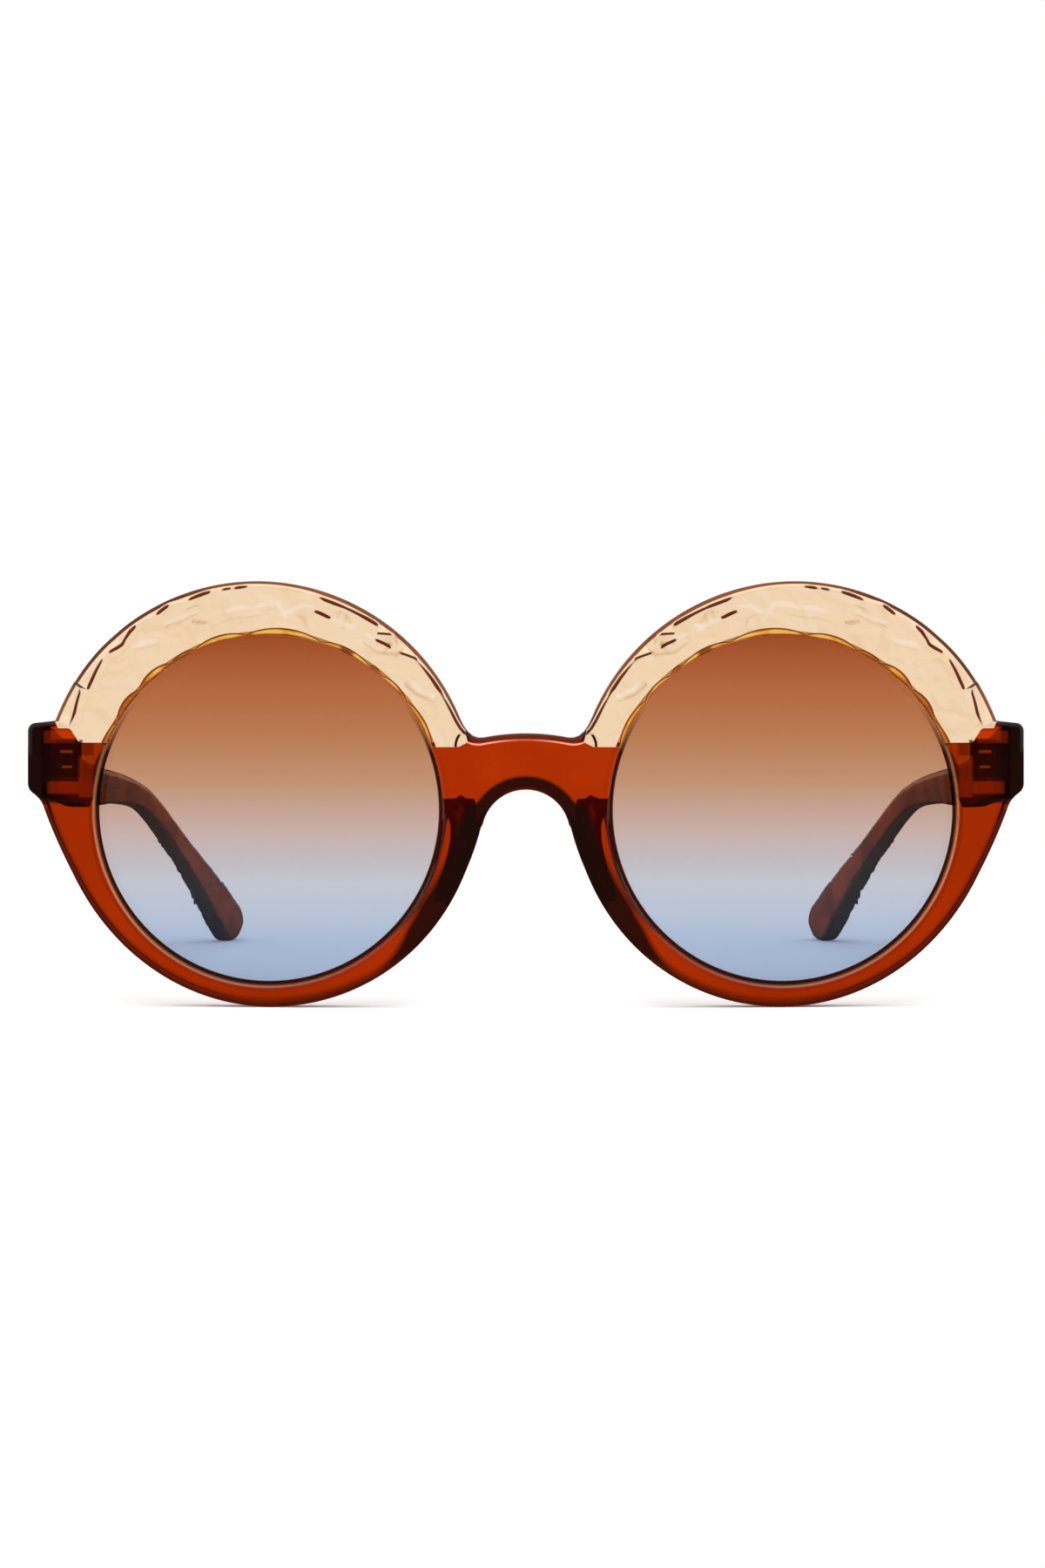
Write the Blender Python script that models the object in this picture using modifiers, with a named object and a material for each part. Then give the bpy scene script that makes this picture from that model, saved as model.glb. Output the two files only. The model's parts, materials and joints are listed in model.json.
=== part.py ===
"""Round sunglasses: two-tone acetate front, gradient lenses and folding temples.

Metres, +Z up. The front faces -Y and the temples run back along +Y.
Left and right are as seen by someone who looks at the front, so right is +X.
The front is modelled flat and then wrapped, so that everything it carries keeps its fit.
"""

import math
import random

import bmesh
import bpy
from mathutils import Matrix, Vector

MM = 0.001
WELD = MM / 1000

# Lens opening of one eye, its distance from the middle plane and the rim's width below it
APERTURE_RADIUS = 25.7 * MM
HALF_BRIDGE = 12.1 * MM
RIM_LOW_WIDTH = 3.2 * MM
ROUND_STEPS = 48

# Front: widths are measured outwards from the lens opening, and rises up from its centre
FRONT_THICKNESS = 4.4 * MM
FRONT_EDGE_ROUND = 0.8 * MM
WRAP_RADIUS = 500 * MM
WRAP_STRIP = 8 * MM
BROW_WIDTH = 6.3 * MM
BROW_OFFSET_X = 1.4 * MM
BROW_OFFSET_Z = 1.0 * MM
RIM_OUTER_WIDTH = 6.7 * MM
RIM_INNER_WIDTH = 6.2 * MM
RIM_CENTRE_RISE = 7.1 * MM
RIM_OFFSET_X = 0.6 * MM
RIM_STEP_DEGREES = 4.5
RIM_HALF_STEPS = 17
BRIDGE_RISE = 10.9 * MM
BRIDGE_DEPTH = 8.2 * MM
BRIDGE_SAG = 0.9 * MM
BRIDGE_FILLET = 0.5 * MM
BRIDGE_FILLET_RUN = 1.4 * MM
BRIDGE_STATION_SHARES = (0, 0.35, 0.7, 1)
NOSE_ARCH_RADIUS = 6.4 * MM
NOSE_ARCH_START_DEGREES = 12
NOSE_ARCH_STEPS = 8

# Endpieces
END_WIDTH = 8.9 * MM
END_RISE = 12.7 * MM
END_HEIGHT = 10.9 * MM
END_TOP_SLOPE = 0.3 * MM
END_CORNER_RADIUS = 1.2 * MM
END_CORNER_STEPS = 4
END_HEEL = 1.3 * MM
END_HEEL_DEGREES = 72
END_FLARE = 0.9 * MM
END_FLARE_RUN = 7.0 * MM

# Seams between each brow and the frame
BOND_GAP = 0.1 * MM
OUTER_SEAM_DROP = 0.7 * MM
OUTER_SEAM_RUN = 0.6 * MM
OUTER_STEP_DROP = 2.4 * MM
OUTER_STEP_INSET = 7.1 * MM
OUTER_STEP_ROUND = 0.7 * MM
OUTER_STEP_ROUND_STEPS = 3
INNER_SEAM_DROP = 1.8 * MM
INNER_STEP_INSET = 1.15 * MM
INNER_STEP_RISE = 1.5 * MM
INNER_STEP_RUN = 3.0 * MM

# Facets cut along the brow's front edges
FACET_SEED = 7
OUTER_FACETS = 9
OUTER_FACET_START_DEGREES = 30
OUTER_FACET_STOP_DEGREES = 155
INNER_FACETS = 8
INNER_FACET_START_DEGREES = 35
INNER_FACET_STOP_DEGREES = 147
FACET_LENGTH = 6.4 * MM
OUTER_FACET_WIDTH = 1.5 * MM
INNER_FACET_WIDTH = 0.9 * MM
FACET_TILT_DEGREES = 38
FACET_VARIATION_SHARE = 0.25
FACET_TWIST_DEGREES = 3.5
FACET_BLOCK = 3.0 * MM

# Lens
LENS_THICKNESS = 2.0 * MM
LENS_CURVE_RADIUS = 180 * MM
LENS_CLEARANCE = 0.12 * MM
GROOVE_DEPTH = 0.6 * MM
GROOVE_WIDTH = 1.5 * MM
LENS_FACE_RINGS = 3

# Nose pads
PAD_HALF_WIDTH = 2.3 * MM
PAD_HALF_HEIGHT = 6.4 * MM
PAD_DEPTH = 4.8 * MM
PAD_INSET = 2.0 * MM
PAD_DROP = 7.0 * MM
PAD_LEAN_DEGREES = 10
PAD_TOE_DEGREES = 8
PAD_SEGMENTS = 20
PAD_RINGS = 12

# Hinges: five knuckles, three of them on the front
HINGE_INSET = 5.1 * MM
HINGE_STANDOFF = 1.9 * MM
KNUCKLE_COUNT = 5
KNUCKLE_RADIUS = 1.4 * MM
KNUCKLE_HEIGHT = 0.88 * MM
KNUCKLE_GAP = 0.1 * MM
KNUCKLE_CLEARANCE = 0.2 * MM
HINGE_WEB = 1.8 * MM
PLATE_MARGIN = 0.3 * MM
PLATE_SUNK = 0.9 * MM
FRONT_PLATE_WIDTH = 3.7 * MM
FRONT_PLATE_PROUD = 0.25 * MM
TEMPLE_PLATE_LENGTH = 8.0 * MM
TEMPLE_PLATE_LEAD = 1.1 * MM
POCKET_CLEARANCE = 0.05 * MM
SCREW_RADIUS = 0.65 * MM
SCREW_CLEARANCE = 0.06 * MM
SCREW_HEAD_RADIUS = 1.15 * MM
SCREW_HEAD_HEIGHT = 0.5 * MM
SCREW_SLOT_WIDTH = 0.3 * MM
SCREW_SLOT_DEPTH = 0.25 * MM
HINGE_STEPS = 18

# Temples
TEMPLE_REACH = 138.5 * MM
TEMPLE_EDGE_ROUND = 1.1 * MM
TEMPLE_WAIST_HALF_HEIGHT = 2.1 * MM
TEMPLE_PADDLE_HALF_HEIGHT = 3.75 * MM
TEMPLE_WAIST_THICKNESS = 3.1 * MM
TEMPLE_PADDLE_THICKNESS = 3.3 * MM
TEMPLE_STRIP = 8 * MM
TEMPLE_TAPER_DEGREES = 2.7
TEMPLE_STRAIGHT = 10.0 * MM
TIP_LENGTH = 44.5 * MM
TIP_CURL_RADIUS = 135 * MM
BUTT_GAP = 0.15 * MM
FOLD_DEGREES = {"left": 74, "right": 84}

# Stations along a temple: share of its reach, share of the height from the tip's centre
# to the hinge end's, share of the hinge end's extra depth, share of the paddle's
TEMPLE_STATION_SHARES = (
    (0.000, 1.000, 1.000, 0.00),
    (0.078, 0.966, 0.875, 0.00),
    (0.167, 0.908, 0.625, 0.00),
    (0.256, 0.861, 0.406, 0.00),
    (0.360, 0.837, 0.200, 0.00),
    (0.464, 0.821, 0.080, 0.00),
    (0.583, 0.790, 0.030, 0.00),
    (0.657, 0.760, 0.010, 0.00),
    (0.709, 0.720, 0.000, 0.00),
    (0.762, 0.644, 0.000, 0.00),
    (0.817, 0.535, 0.000, 0.00),
    (0.872, 0.405, 0.000, 0.12),
    (0.921, 0.270, 0.000, 0.42),
    (0.958, 0.153, 0.000, 0.76),
    (1.000, 0.000, 0.000, 1.00),
)
TEMPLE_SPAN_STEPS = 2
TIP_STEPS = 10

# Core wire inside each temple
CORE_RADIUS = 0.55 * MM
CORE_CLEARANCE = 0.1 * MM
CORE_INSET = 2.0 * MM
CORE_START = 1.5 * MM
CORE_END_SHARE = 0.93

# How far cutters run past what they cut
OVERRUN = 2.0 * MM

# Faces that turn by more than this keep a sharp edge between them
SHARP_DEGREES = 30

AXIS_X = Vector((1, 0, 0))
AXIS_Y = Vector((0, 1, 0))
AXIS_Z = Vector((0, 0, 1))
FRONTWARDS = -AXIS_Y

# Places worked out from the sizes above
LENS_CENTRE_X = HALF_BRIDGE + APERTURE_RADIUS
LENS_CENTRE_Z = RIM_LOW_WIDTH + APERTURE_RADIUS
BROW_CENTRE_X = LENS_CENTRE_X + BROW_OFFSET_X
BROW_CENTRE_Z = LENS_CENTRE_Z + BROW_OFFSET_Z
BROW_RADIUS = APERTURE_RADIUS + BROW_WIDTH
RIM_CENTRE_X = LENS_CENTRE_X - RIM_OFFSET_X
RIM_OUTER_REACH = APERTURE_RADIUS + RIM_OUTER_WIDTH
RIM_INNER_REACH = APERTURE_RADIUS + RIM_INNER_WIDTH
RIM_DROP = LENS_CENTRE_Z + RIM_CENTRE_RISE
BRIDGE_TOP_Z = LENS_CENTRE_Z + BRIDGE_RISE
NOSE_ARCH_TOP_Z = BRIDGE_TOP_Z - BRIDGE_DEPTH
END_X = LENS_CENTRE_X + APERTURE_RADIUS + END_WIDTH
END_TOP_Z = LENS_CENTRE_Z + END_RISE
END_BOTTOM_Z = END_TOP_Z - END_HEIGHT
OUTER_SEAM_Z = END_TOP_Z - OUTER_SEAM_DROP
OUTER_STEP_Z = OUTER_SEAM_Z - OUTER_STEP_DROP
OUTER_STEP_X = END_X - OUTER_STEP_INSET
INNER_SEAM_Z = BRIDGE_TOP_Z - INNER_SEAM_DROP
PAD_X = HALF_BRIDGE - PAD_INSET
PAD_Z = NOSE_ARCH_TOP_Z - PAD_DROP
HINGE_X = END_X - HINGE_INSET
HINGE_HEIGHT = KNUCKLE_COUNT * KNUCKLE_HEIGHT + (KNUCKLE_COUNT - 1) * KNUCKLE_GAP
PLATE_HEIGHT = HINGE_HEIGHT + 2 * PLATE_MARGIN
TEMPLE_INNER_X = HINGE_X + KNUCKLE_RADIUS + KNUCKLE_CLEARANCE
TEMPLE_THICKNESS = END_X - TEMPLE_INNER_X
TEMPLE_TOP_Z = END_TOP_Z - END_TOP_SLOPE
END_MID_Z = (TEMPLE_TOP_Z + END_BOTTOM_Z) / 2
END_HALF_HEIGHT = (TEMPLE_TOP_Z - END_BOTTOM_Z) / 2
HINGE_Z = END_MID_Z
TIP_CURL_START = TEMPLE_REACH - TIP_LENGTH


def clear_scene():
    """Removes what the scene holds."""
    for obj in list(bpy.data.objects):
        bpy.data.objects.remove(obj)


def new_collection(name):
    """A collection in the scene."""
    collection = bpy.data.collections.new(name)
    bpy.context.scene.collection.children.link(collection)
    return collection


def new_material(name, colour, roughness, metallic=0.0, transmission=0.0):
    """A Principled material with a linear colour."""
    material = bpy.data.materials.new(name)
    material.use_nodes = True
    shader = material.node_tree.nodes["Principled BSDF"]
    shader.inputs["Base Color"].default_value = (*colour, 1.0)
    shader.inputs["Roughness"].default_value = roughness
    shader.inputs["Metallic"].default_value = metallic
    shader.inputs["Transmission Weight"].default_value = transmission
    material.diffuse_color = (*colour, 1.0)
    return material


def settle(obj):
    """Replaces an object's mesh with its evaluated one and drops its modifiers."""
    graph = bpy.context.evaluated_depsgraph_get()
    mesh = bpy.data.meshes.new_from_object(obj.evaluated_get(graph))
    obj.modifiers.clear()
    obj.data = mesh


def mesh_from_curve(curve_object):
    """Turns a curve object into a mesh object of the same name, with its caps welded."""
    graph = bpy.context.evaluated_depsgraph_get()
    mesh = bpy.data.meshes.new_from_object(curve_object.evaluated_get(graph))
    mesh.transform(curve_object.matrix_world)
    name = curve_object.name
    curve = curve_object.data
    bpy.data.objects.remove(curve_object)
    bpy.data.curves.remove(curve)
    weld(mesh)
    return link_mesh(name, mesh)


def weld(mesh):
    """Joins points that lie on each other and points the faces outwards."""
    shape = bmesh.new()
    shape.from_mesh(mesh)
    bmesh.ops.remove_doubles(shape, verts=shape.verts, dist=WELD)
    bmesh.ops.dissolve_degenerate(shape, edges=shape.edges, dist=WELD)
    bmesh.ops.recalc_face_normals(shape, faces=shape.faces)
    shape.to_mesh(mesh)
    shape.free()


def link_mesh(name, mesh):
    """An object of the mesh, in the workshop."""
    obj = bpy.data.objects.new(name, mesh)
    WORKSHOP.objects.link(obj)
    return obj


def mesh_from_shape(name, shape):
    """Makes an object of a bmesh, with its faces pointing out."""
    bmesh.ops.recalc_face_normals(shape, faces=shape.faces)
    mesh = bpy.data.meshes.new(name)
    shape.to_mesh(mesh)
    shape.free()
    return link_mesh(name, mesh)


def box(name, size, matrix):
    """A box of the given size, centred on the matrix and turned by it."""
    shape = bmesh.new()
    bmesh.ops.create_cube(shape, size=1, matrix=matrix @ Matrix.Diagonal((*size, 1)))
    return mesh_from_shape(name, shape)


def cylinder(name, radius, height, centre, steps=HINGE_STEPS):
    """An upright cylinder."""
    shape = bmesh.new()
    bmesh.ops.create_cone(
        shape,
        cap_ends=True,
        segments=steps,
        radius1=radius,
        radius2=radius,
        depth=height,
        matrix=Matrix.Translation(centre),
    )
    return mesh_from_shape(name, shape)


def flat_piece(name, outlines, thickness, edge_round):
    """A flat outline in X and Z with its thickness along Y from 0, and rounded edges."""
    curve = bpy.data.curves.new(name, "CURVE")
    curve.dimensions = "2D"
    curve.fill_mode = "BOTH"
    curve.extrude = thickness / 2 - edge_round
    curve.bevel_depth = edge_round
    curve.bevel_resolution = 1
    curve.offset = -edge_round
    for outline in outlines:
        spline = curve.splines.new("POLY")
        spline.points.add(len(outline) - 1)
        for point, (x, z) in zip(spline.points, outline):
            point.co = (x, z, 0, 1)
        spline.use_cyclic_u = True
    obj = bpy.data.objects.new(name, curve)
    WORKSHOP.objects.link(obj)
    standing = Matrix.Rotation(math.pi / 2, 4, "X")
    obj.matrix_world = Matrix.Translation(AXIS_Y * thickness / 2) @ standing
    bpy.context.view_layer.update()
    return mesh_from_curve(obj)


def prism(name, outline, low, high):
    """A sharp-edged cutter: an outline in X and Z that runs along Y from low to high."""
    obj = flat_piece(name, [outline], high - low, 0)
    obj.data.transform(Matrix.Translation(AXIS_Y * low))
    return obj


def tube(name, points, radius):
    """A round wire along the points."""
    curve = bpy.data.curves.new(name, "CURVE")
    curve.dimensions = "3D"
    curve.bevel_depth = radius
    curve.bevel_resolution = 1
    curve.use_fill_caps = True
    spline = curve.splines.new("POLY")
    spline.points.add(len(points) - 1)
    for point, place in zip(spline.points, points):
        point.co = (*place, 1)
    obj = bpy.data.objects.new(name, curve)
    WORKSHOP.objects.link(obj)
    bpy.context.view_layer.update()
    return mesh_from_curve(obj)


def turned(name, profile, closed=False):
    """A profile of radius and height, turned about the lens axis of the right eye.

    Height runs forwards, and 0 is the middle of the front's thickness.
    """
    mesh = bpy.data.meshes.new(name)
    edges = [(i, i + 1) for i in range(len(profile) - 1)]
    if closed:
        edges.append((len(profile) - 1, 0))
    mesh.from_pydata([(radius, 0, height) for radius, height in profile], edges, [])
    obj = link_mesh(name, mesh)
    screw = obj.modifiers.new("turn", "SCREW")
    screw.steps = ROUND_STEPS
    screw.render_steps = ROUND_STEPS
    screw.use_merge_vertices = True
    screw.merge_threshold = WELD
    settle(obj)
    facing = Matrix.Rotation(math.pi / 2, 4, "X")
    obj.data.transform(Matrix.Translation(lens_centre()) @ facing)
    weld(obj.data)
    return obj


def combine(target, tool, operation):
    """Cuts the tool out of the target, joins it on, or keeps what they share."""
    modifier = target.modifiers.new("combine", "BOOLEAN")
    modifier.operation = operation
    modifier.object = tool
    settle(target)
    weld(target.data)
    if operation == "UNION":
        bpy.data.objects.remove(tool)
        return
    WORKSHOP.objects.unlink(tool)
    CUTTERS.objects.link(tool)
    tool.hide_render = True
    tool.display_type = "WIRE"


def copy_of(obj, name):
    """A copy with its own mesh."""
    return link_mesh(name, obj.data.copy())


def mirrored(obj, name):
    """A copy on the other side of the middle plane."""
    twin = copy_of(obj, name)
    twin.data.transform(Matrix.Scale(-1, 4, AXIS_X))
    twin.data.flip_normals()
    return twin


def sliced(obj, direction, step, low, high):
    """Adds edge loops across the object at equal steps, so that it can be curved."""
    shape = bmesh.new()
    shape.from_mesh(obj.data)
    for i in range(math.ceil(low / step), math.floor(high / step) + 1):
        bmesh.ops.bisect_plane(
            shape,
            geom=shape.verts[:] + shape.edges[:] + shape.faces[:],
            plane_co=direction * i * step,
            plane_no=direction,
        )
    bmesh.ops.triangulate(shape, faces=shape.faces)
    shape.to_mesh(obj.data)
    shape.free()


def wrap_shift(x):
    """How far the wrapped front lies behind its middle."""
    return x * x / (2 * WRAP_RADIUS)


def wrap_angle(x):
    """How far the wrapped front is turned at a place."""
    return math.atan(x / WRAP_RADIUS)


def wrap(obj):
    """Curves a piece of the flat front back towards the temples."""
    sliced(obj, AXIS_X, WRAP_STRIP, -END_X, END_X)
    for vertex in obj.data.vertices:
        vertex.co.y += wrap_shift(vertex.co.x)


def back_face(x):
    """Y of the wrapped front's back face."""
    return FRONT_THICKNESS + wrap_shift(x)


def lens_centre():
    """The middle of the right lens opening."""
    return Vector((LENS_CENTRE_X, FRONT_THICKNESS / 2, LENS_CENTRE_Z))


def arc(centre_x, centre_z, radius, start, stop, steps):
    """Points of a circle from one angle to another, in degrees, ends included."""
    points = []
    for i in range(steps + 1):
        angle = math.radians(start + (stop - start) * i / steps)
        points.append((centre_x + radius * math.cos(angle), centre_z + radius * math.sin(angle)))
    return points


def brow_angle(z):
    """Angle in degrees at which the brow's round contour is at a height, on its outer side."""
    return math.degrees(math.asin((z - BROW_CENTRE_Z) / BROW_RADIUS))


def brow_half_chord(z):
    """Half the width of the brow's round contour at a height."""
    rise = z - BROW_CENTRE_Z
    return math.sqrt(BROW_RADIUS * BROW_RADIUS - rise * rise)


def brow_start_z():
    """Height at which the brow's contour leaves the bridge's top."""
    return BRIDGE_TOP_Z - BRIDGE_SAG + BRIDGE_FILLET


def brow_start_x():
    """X at which the brow's contour leaves the bridge's top."""
    return BROW_CENTRE_X - brow_half_chord(brow_start_z())


def brow_end_x():
    """X at which the brow's contour meets the endpiece's top."""
    return BROW_CENTRE_X + brow_half_chord(END_TOP_Z)


def front_half_outline():
    """The front's contour from the middle of the bridge's top, round the right rim, to the nose arch."""
    points = []
    half_width = brow_start_x() - BRIDGE_FILLET_RUN
    for share in BRIDGE_STATION_SHARES:
        points.append((share * half_width, BRIDGE_TOP_Z - BRIDGE_SAG * share * share))
    start = 180 - brow_angle(brow_start_z())
    stop = brow_angle(END_TOP_Z)
    steps = round((start - stop) / RIM_STEP_DEGREES)
    points += arc(BROW_CENTRE_X, BROW_CENTRE_Z, BROW_RADIUS, start, stop, steps)
    corner = END_X - END_CORNER_RADIUS
    high = END_TOP_Z - END_TOP_SLOPE - END_CORNER_RADIUS
    low = END_BOTTOM_Z + END_CORNER_RADIUS
    points += arc(corner, high, END_CORNER_RADIUS, 90, 0, END_CORNER_STEPS)
    points += arc(corner, low, END_CORNER_RADIUS, 0, -END_HEEL_DEGREES, END_CORNER_STEPS - 1)
    rim = rim_points()
    arch_z = NOSE_ARCH_TOP_Z - NOSE_ARCH_RADIUS
    arch = arc(0, arch_z, NOSE_ARCH_RADIUS, NOSE_ARCH_START_DEGREES, 90, NOSE_ARCH_STEPS)
    points.append((corner - END_HEEL / 2, (points[-1][1] + rim[0][1]) / 2))
    points += [(x, z) for x, z in rim if x > RIM_CENTRE_X or z < arch[0][1]]
    return points + arch


def rim_points():
    """The lower rim's contour, with one level facet at its lowest place."""
    flare_top = END_BOTTOM_Z - END_HEEL
    points = []
    for i in range(RIM_HALF_STEPS, -RIM_HALF_STEPS, -1):
        angle = math.radians(-90 + (i - 0.5) * RIM_STEP_DEGREES)
        reach = RIM_OUTER_REACH if i > 0 else RIM_INNER_REACH
        x = RIM_CENTRE_X + reach * math.cos(angle)
        z = RIM_DROP + RIM_DROP * math.sin(angle)
        flare_share = max(0, 1 - (flare_top - z) / END_FLARE_RUN)
        if i > 0:
            x += END_FLARE * flare_share * flare_share
        points.append((x, z))
    return points


def front_blank():
    """The whole front as one flat sheet, with its lens openings and lens grooves."""
    half = front_half_outline()
    outline = half + [(-x, z) for x, z in reversed(half[1:-1])]
    circle = arc(LENS_CENTRE_X, LENS_CENTRE_Z, APERTURE_RADIUS, 0, 360, ROUND_STEPS)
    opening = circle[:-1]
    openings = [opening, [(-x, z) for x, z in opening]]
    blank = flat_piece("front_blank", [outline, *openings], FRONT_THICKNESS, FRONT_EDGE_ROUND)
    flank = GROOVE_WIDTH / 2 * (1 + OVERRUN / GROOVE_DEPTH)
    inner = APERTURE_RADIUS - OVERRUN
    bottom = APERTURE_RADIUS + GROOVE_DEPTH
    groove = turned("lens_groove", [(bottom, 0), (inner, -flank), (inner, flank)], closed=True)
    combine(blank, mirrored(groove, "lens_groove_left"), "DIFFERENCE")
    combine(blank, groove, "DIFFERENCE")
    return blank


def brow_zone(grow):
    """The region that the right brow takes from the blank, grown on all its seams."""
    notch = brow_end_x() + grow
    above = BROW_CENTRE_Z + BROW_RADIUS + OVERRUN
    step_x = OUTER_STEP_X + grow
    step_z = OUTER_STEP_Z - grow
    bend = OUTER_STEP_ROUND
    nose_x = brow_start_x() + INNER_STEP_INSET - grow
    nose_z = INNER_SEAM_Z - grow
    outline = [(notch, above), (notch, END_TOP_Z - grow)]
    outline.append((notch - OUTER_SEAM_RUN, OUTER_SEAM_Z - grow))
    steps = OUTER_STEP_ROUND_STEPS
    outline += arc(step_x + bend, OUTER_SEAM_Z - grow - bend, bend, 90, 180, steps)
    outline += arc(step_x - bend, step_z + bend, bend, 0, -90, steps)
    outline.append((LENS_CENTRE_X, step_z))
    outline.append((LENS_CENTRE_X - APERTURE_RADIUS / 2, nose_z))
    outline.append((nose_x, nose_z))
    outline.append((nose_x - INNER_STEP_RUN, nose_z + INNER_STEP_RISE))
    outline.append((nose_x - INNER_STEP_RUN, above))
    return prism("brow_zone", outline, -OVERRUN, FRONT_THICKNESS + OVERRUN)


def facet_cutter(centre, angle, radius, side, chance):
    """A block that slices a flat from the front edge of a round band.

    side is 1 for the band's outer edge and -1 for its inner one.
    """
    outwards = Vector((math.cos(angle), 0, math.sin(angle)))
    along = Vector((-math.sin(angle), 0, math.cos(angle)))
    tilt = math.radians(FACET_TILT_DEGREES) * vary(chance)
    normal = (outwards * side * math.sin(tilt) + FRONTWARDS * math.cos(tilt)).normalized()
    turn = Matrix((along, normal.cross(along), normal)).transposed().to_4x4()
    twist = math.radians(FACET_TWIST_DEGREES) * chance.uniform(-1, 1)
    place = centre + outwards * radius
    matrix = Matrix.Translation(place) @ turn @ Matrix.Rotation(twist, 4, "Y")
    lift = Matrix.Translation(AXIS_Z * FACET_BLOCK / 2)
    size = (FACET_LENGTH * vary(chance), FACET_BLOCK * 2, FACET_BLOCK)
    return box("facet_cutter", size, matrix @ lift)


def vary(chance):
    """A factor near 1."""
    return 1 + chance.uniform(-FACET_VARIATION_SHARE, FACET_VARIATION_SHARE)


def spread(start, stop, count):
    """Angles in radians at equal steps from start to stop, which are in degrees."""
    return [math.radians(start + (stop - start) * i / (count - 1)) for i in range(count)]


def cut_facets(brow):
    """Cuts the hand-cut looking flats along the right brow's outer and inner front edges."""
    chance = random.Random(FACET_SEED)
    rim_centre = Vector((BROW_CENTRE_X, 0, BROW_CENTRE_Z))
    eye_centre = Vector((LENS_CENTRE_X, 0, LENS_CENTRE_Z))
    for angle in spread(OUTER_FACET_START_DEGREES, OUTER_FACET_STOP_DEGREES, OUTER_FACETS):
        radius = BROW_RADIUS - OUTER_FACET_WIDTH * vary(chance)
        combine(brow, facet_cutter(rim_centre, angle, radius, 1, chance), "DIFFERENCE")
    for angle in spread(INNER_FACET_START_DEGREES, INNER_FACET_STOP_DEGREES, INNER_FACETS):
        radius = APERTURE_RADIUS + INNER_FACET_WIDTH * vary(chance)
        combine(brow, facet_cutter(eye_centre, angle, radius, -1, chance), "DIFFERENCE")


def make_front():
    """The frame and the right brow, from one blank."""
    frame = front_blank()
    brow = copy_of(frame, "brow_right")
    combine(brow, brow_zone(-BOND_GAP / 2), "INTERSECT")
    cut_facets(brow)
    frame.name = "front_frame"
    taken = brow_zone(BOND_GAP / 2)
    combine(frame, mirrored(taken, "brow_zone_left"), "DIFFERENCE")
    combine(frame, taken, "DIFFERENCE")
    wrap(frame)
    wrap(brow)
    pocket = front_plate("hinge_pocket", POCKET_CLEARANCE)
    combine(frame, mirrored(pocket, "hinge_pocket_left"), "DIFFERENCE")
    combine(frame, pocket, "DIFFERENCE")
    return frame, brow


def make_lens():
    """The right lens: a thin meniscus whose bevelled edge sits in the groove."""
    edge = APERTURE_RADIUS - LENS_CLEARANCE
    apex = APERTURE_RADIUS + GROOVE_DEPTH - LENS_CLEARANCE * 2
    bevel = GROOVE_WIDTH / 2 - LENS_CLEARANCE
    front = []
    for i in range(LENS_FACE_RINGS + 1):
        radius = edge * i / LENS_FACE_RINGS
        rise = (edge * edge - radius * radius) / (2 * LENS_CURVE_RADIUS)
        front.append((radius, rise))
    half = LENS_THICKNESS / 2
    profile = [(radius, rise + half) for radius, rise in front]
    profile += [(edge, bevel), (apex, 0), (edge, -bevel)]
    profile += [(radius, rise - half) for radius, rise in reversed(front)]
    lens = turned("lens_right", profile)
    wrap(lens)
    return lens


def make_nose_pad():
    """The right nose pad: half of an egg, bonded behind the rim beside the nose."""
    shape = bmesh.new()
    bmesh.ops.create_uvsphere(shape, u_segments=PAD_SEGMENTS, v_segments=PAD_RINGS, radius=1)
    size = Matrix.Diagonal((PAD_HALF_WIDTH, PAD_DEPTH, PAD_HALF_HEIGHT, 1))
    lean = Matrix.Rotation(math.radians(PAD_LEAN_DEGREES), 4, "Y")
    toe = Matrix.Rotation(math.radians(PAD_TOE_DEGREES), 4, "Z")
    place = Matrix.Translation((PAD_X, back_face(PAD_X), PAD_Z))
    bmesh.ops.transform(shape, matrix=place @ lean.inverted() @ toe @ size, verts=shape.verts)
    pad = mesh_from_shape("nose_pad_right", shape)
    outer_x = max(vertex.co.x for vertex in pad.data.vertices)
    seat = back_face(outer_x) + BOND_GAP
    side = 2 * (PAD_HALF_HEIGHT + OVERRUN)
    block_place = Matrix.Translation((PAD_X, seat - side / 2, PAD_Z))
    combine(pad, box("pad_seat", (side, side, side), block_place), "DIFFERENCE")
    return pad


def hinge_axis():
    """A point on the right hinge's axis, level with the hinge's middle."""
    return Vector((HINGE_X, back_face(HINGE_X) + HINGE_STANDOFF, HINGE_Z))


def knuckle_z(index):
    """Height of a knuckle's middle, counted from the lowest."""
    low = HINGE_Z - HINGE_HEIGHT / 2 + KNUCKLE_HEIGHT / 2
    return low + index * (KNUCKLE_HEIGHT + KNUCKLE_GAP)


def front_plate(name, grow):
    """The plate sunk in the back of the right endpiece, or its pocket."""
    middle = HINGE_X + KNUCKLE_RADIUS - FRONT_PLATE_WIDTH / 2
    depth = PLATE_SUNK + FRONT_PLATE_PROUD
    turn = Matrix.Rotation(wrap_angle(middle), 4, "Z")
    shift = Matrix.Translation(AXIS_Y * (depth / 2 - PLATE_SUNK))
    place = Matrix.Translation((middle, back_face(middle), HINGE_Z)) @ turn @ shift
    size = (FRONT_PLATE_WIDTH + 2 * grow, depth + 2 * grow, PLATE_HEIGHT + 2 * grow)
    return box(name, size, place)


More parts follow.
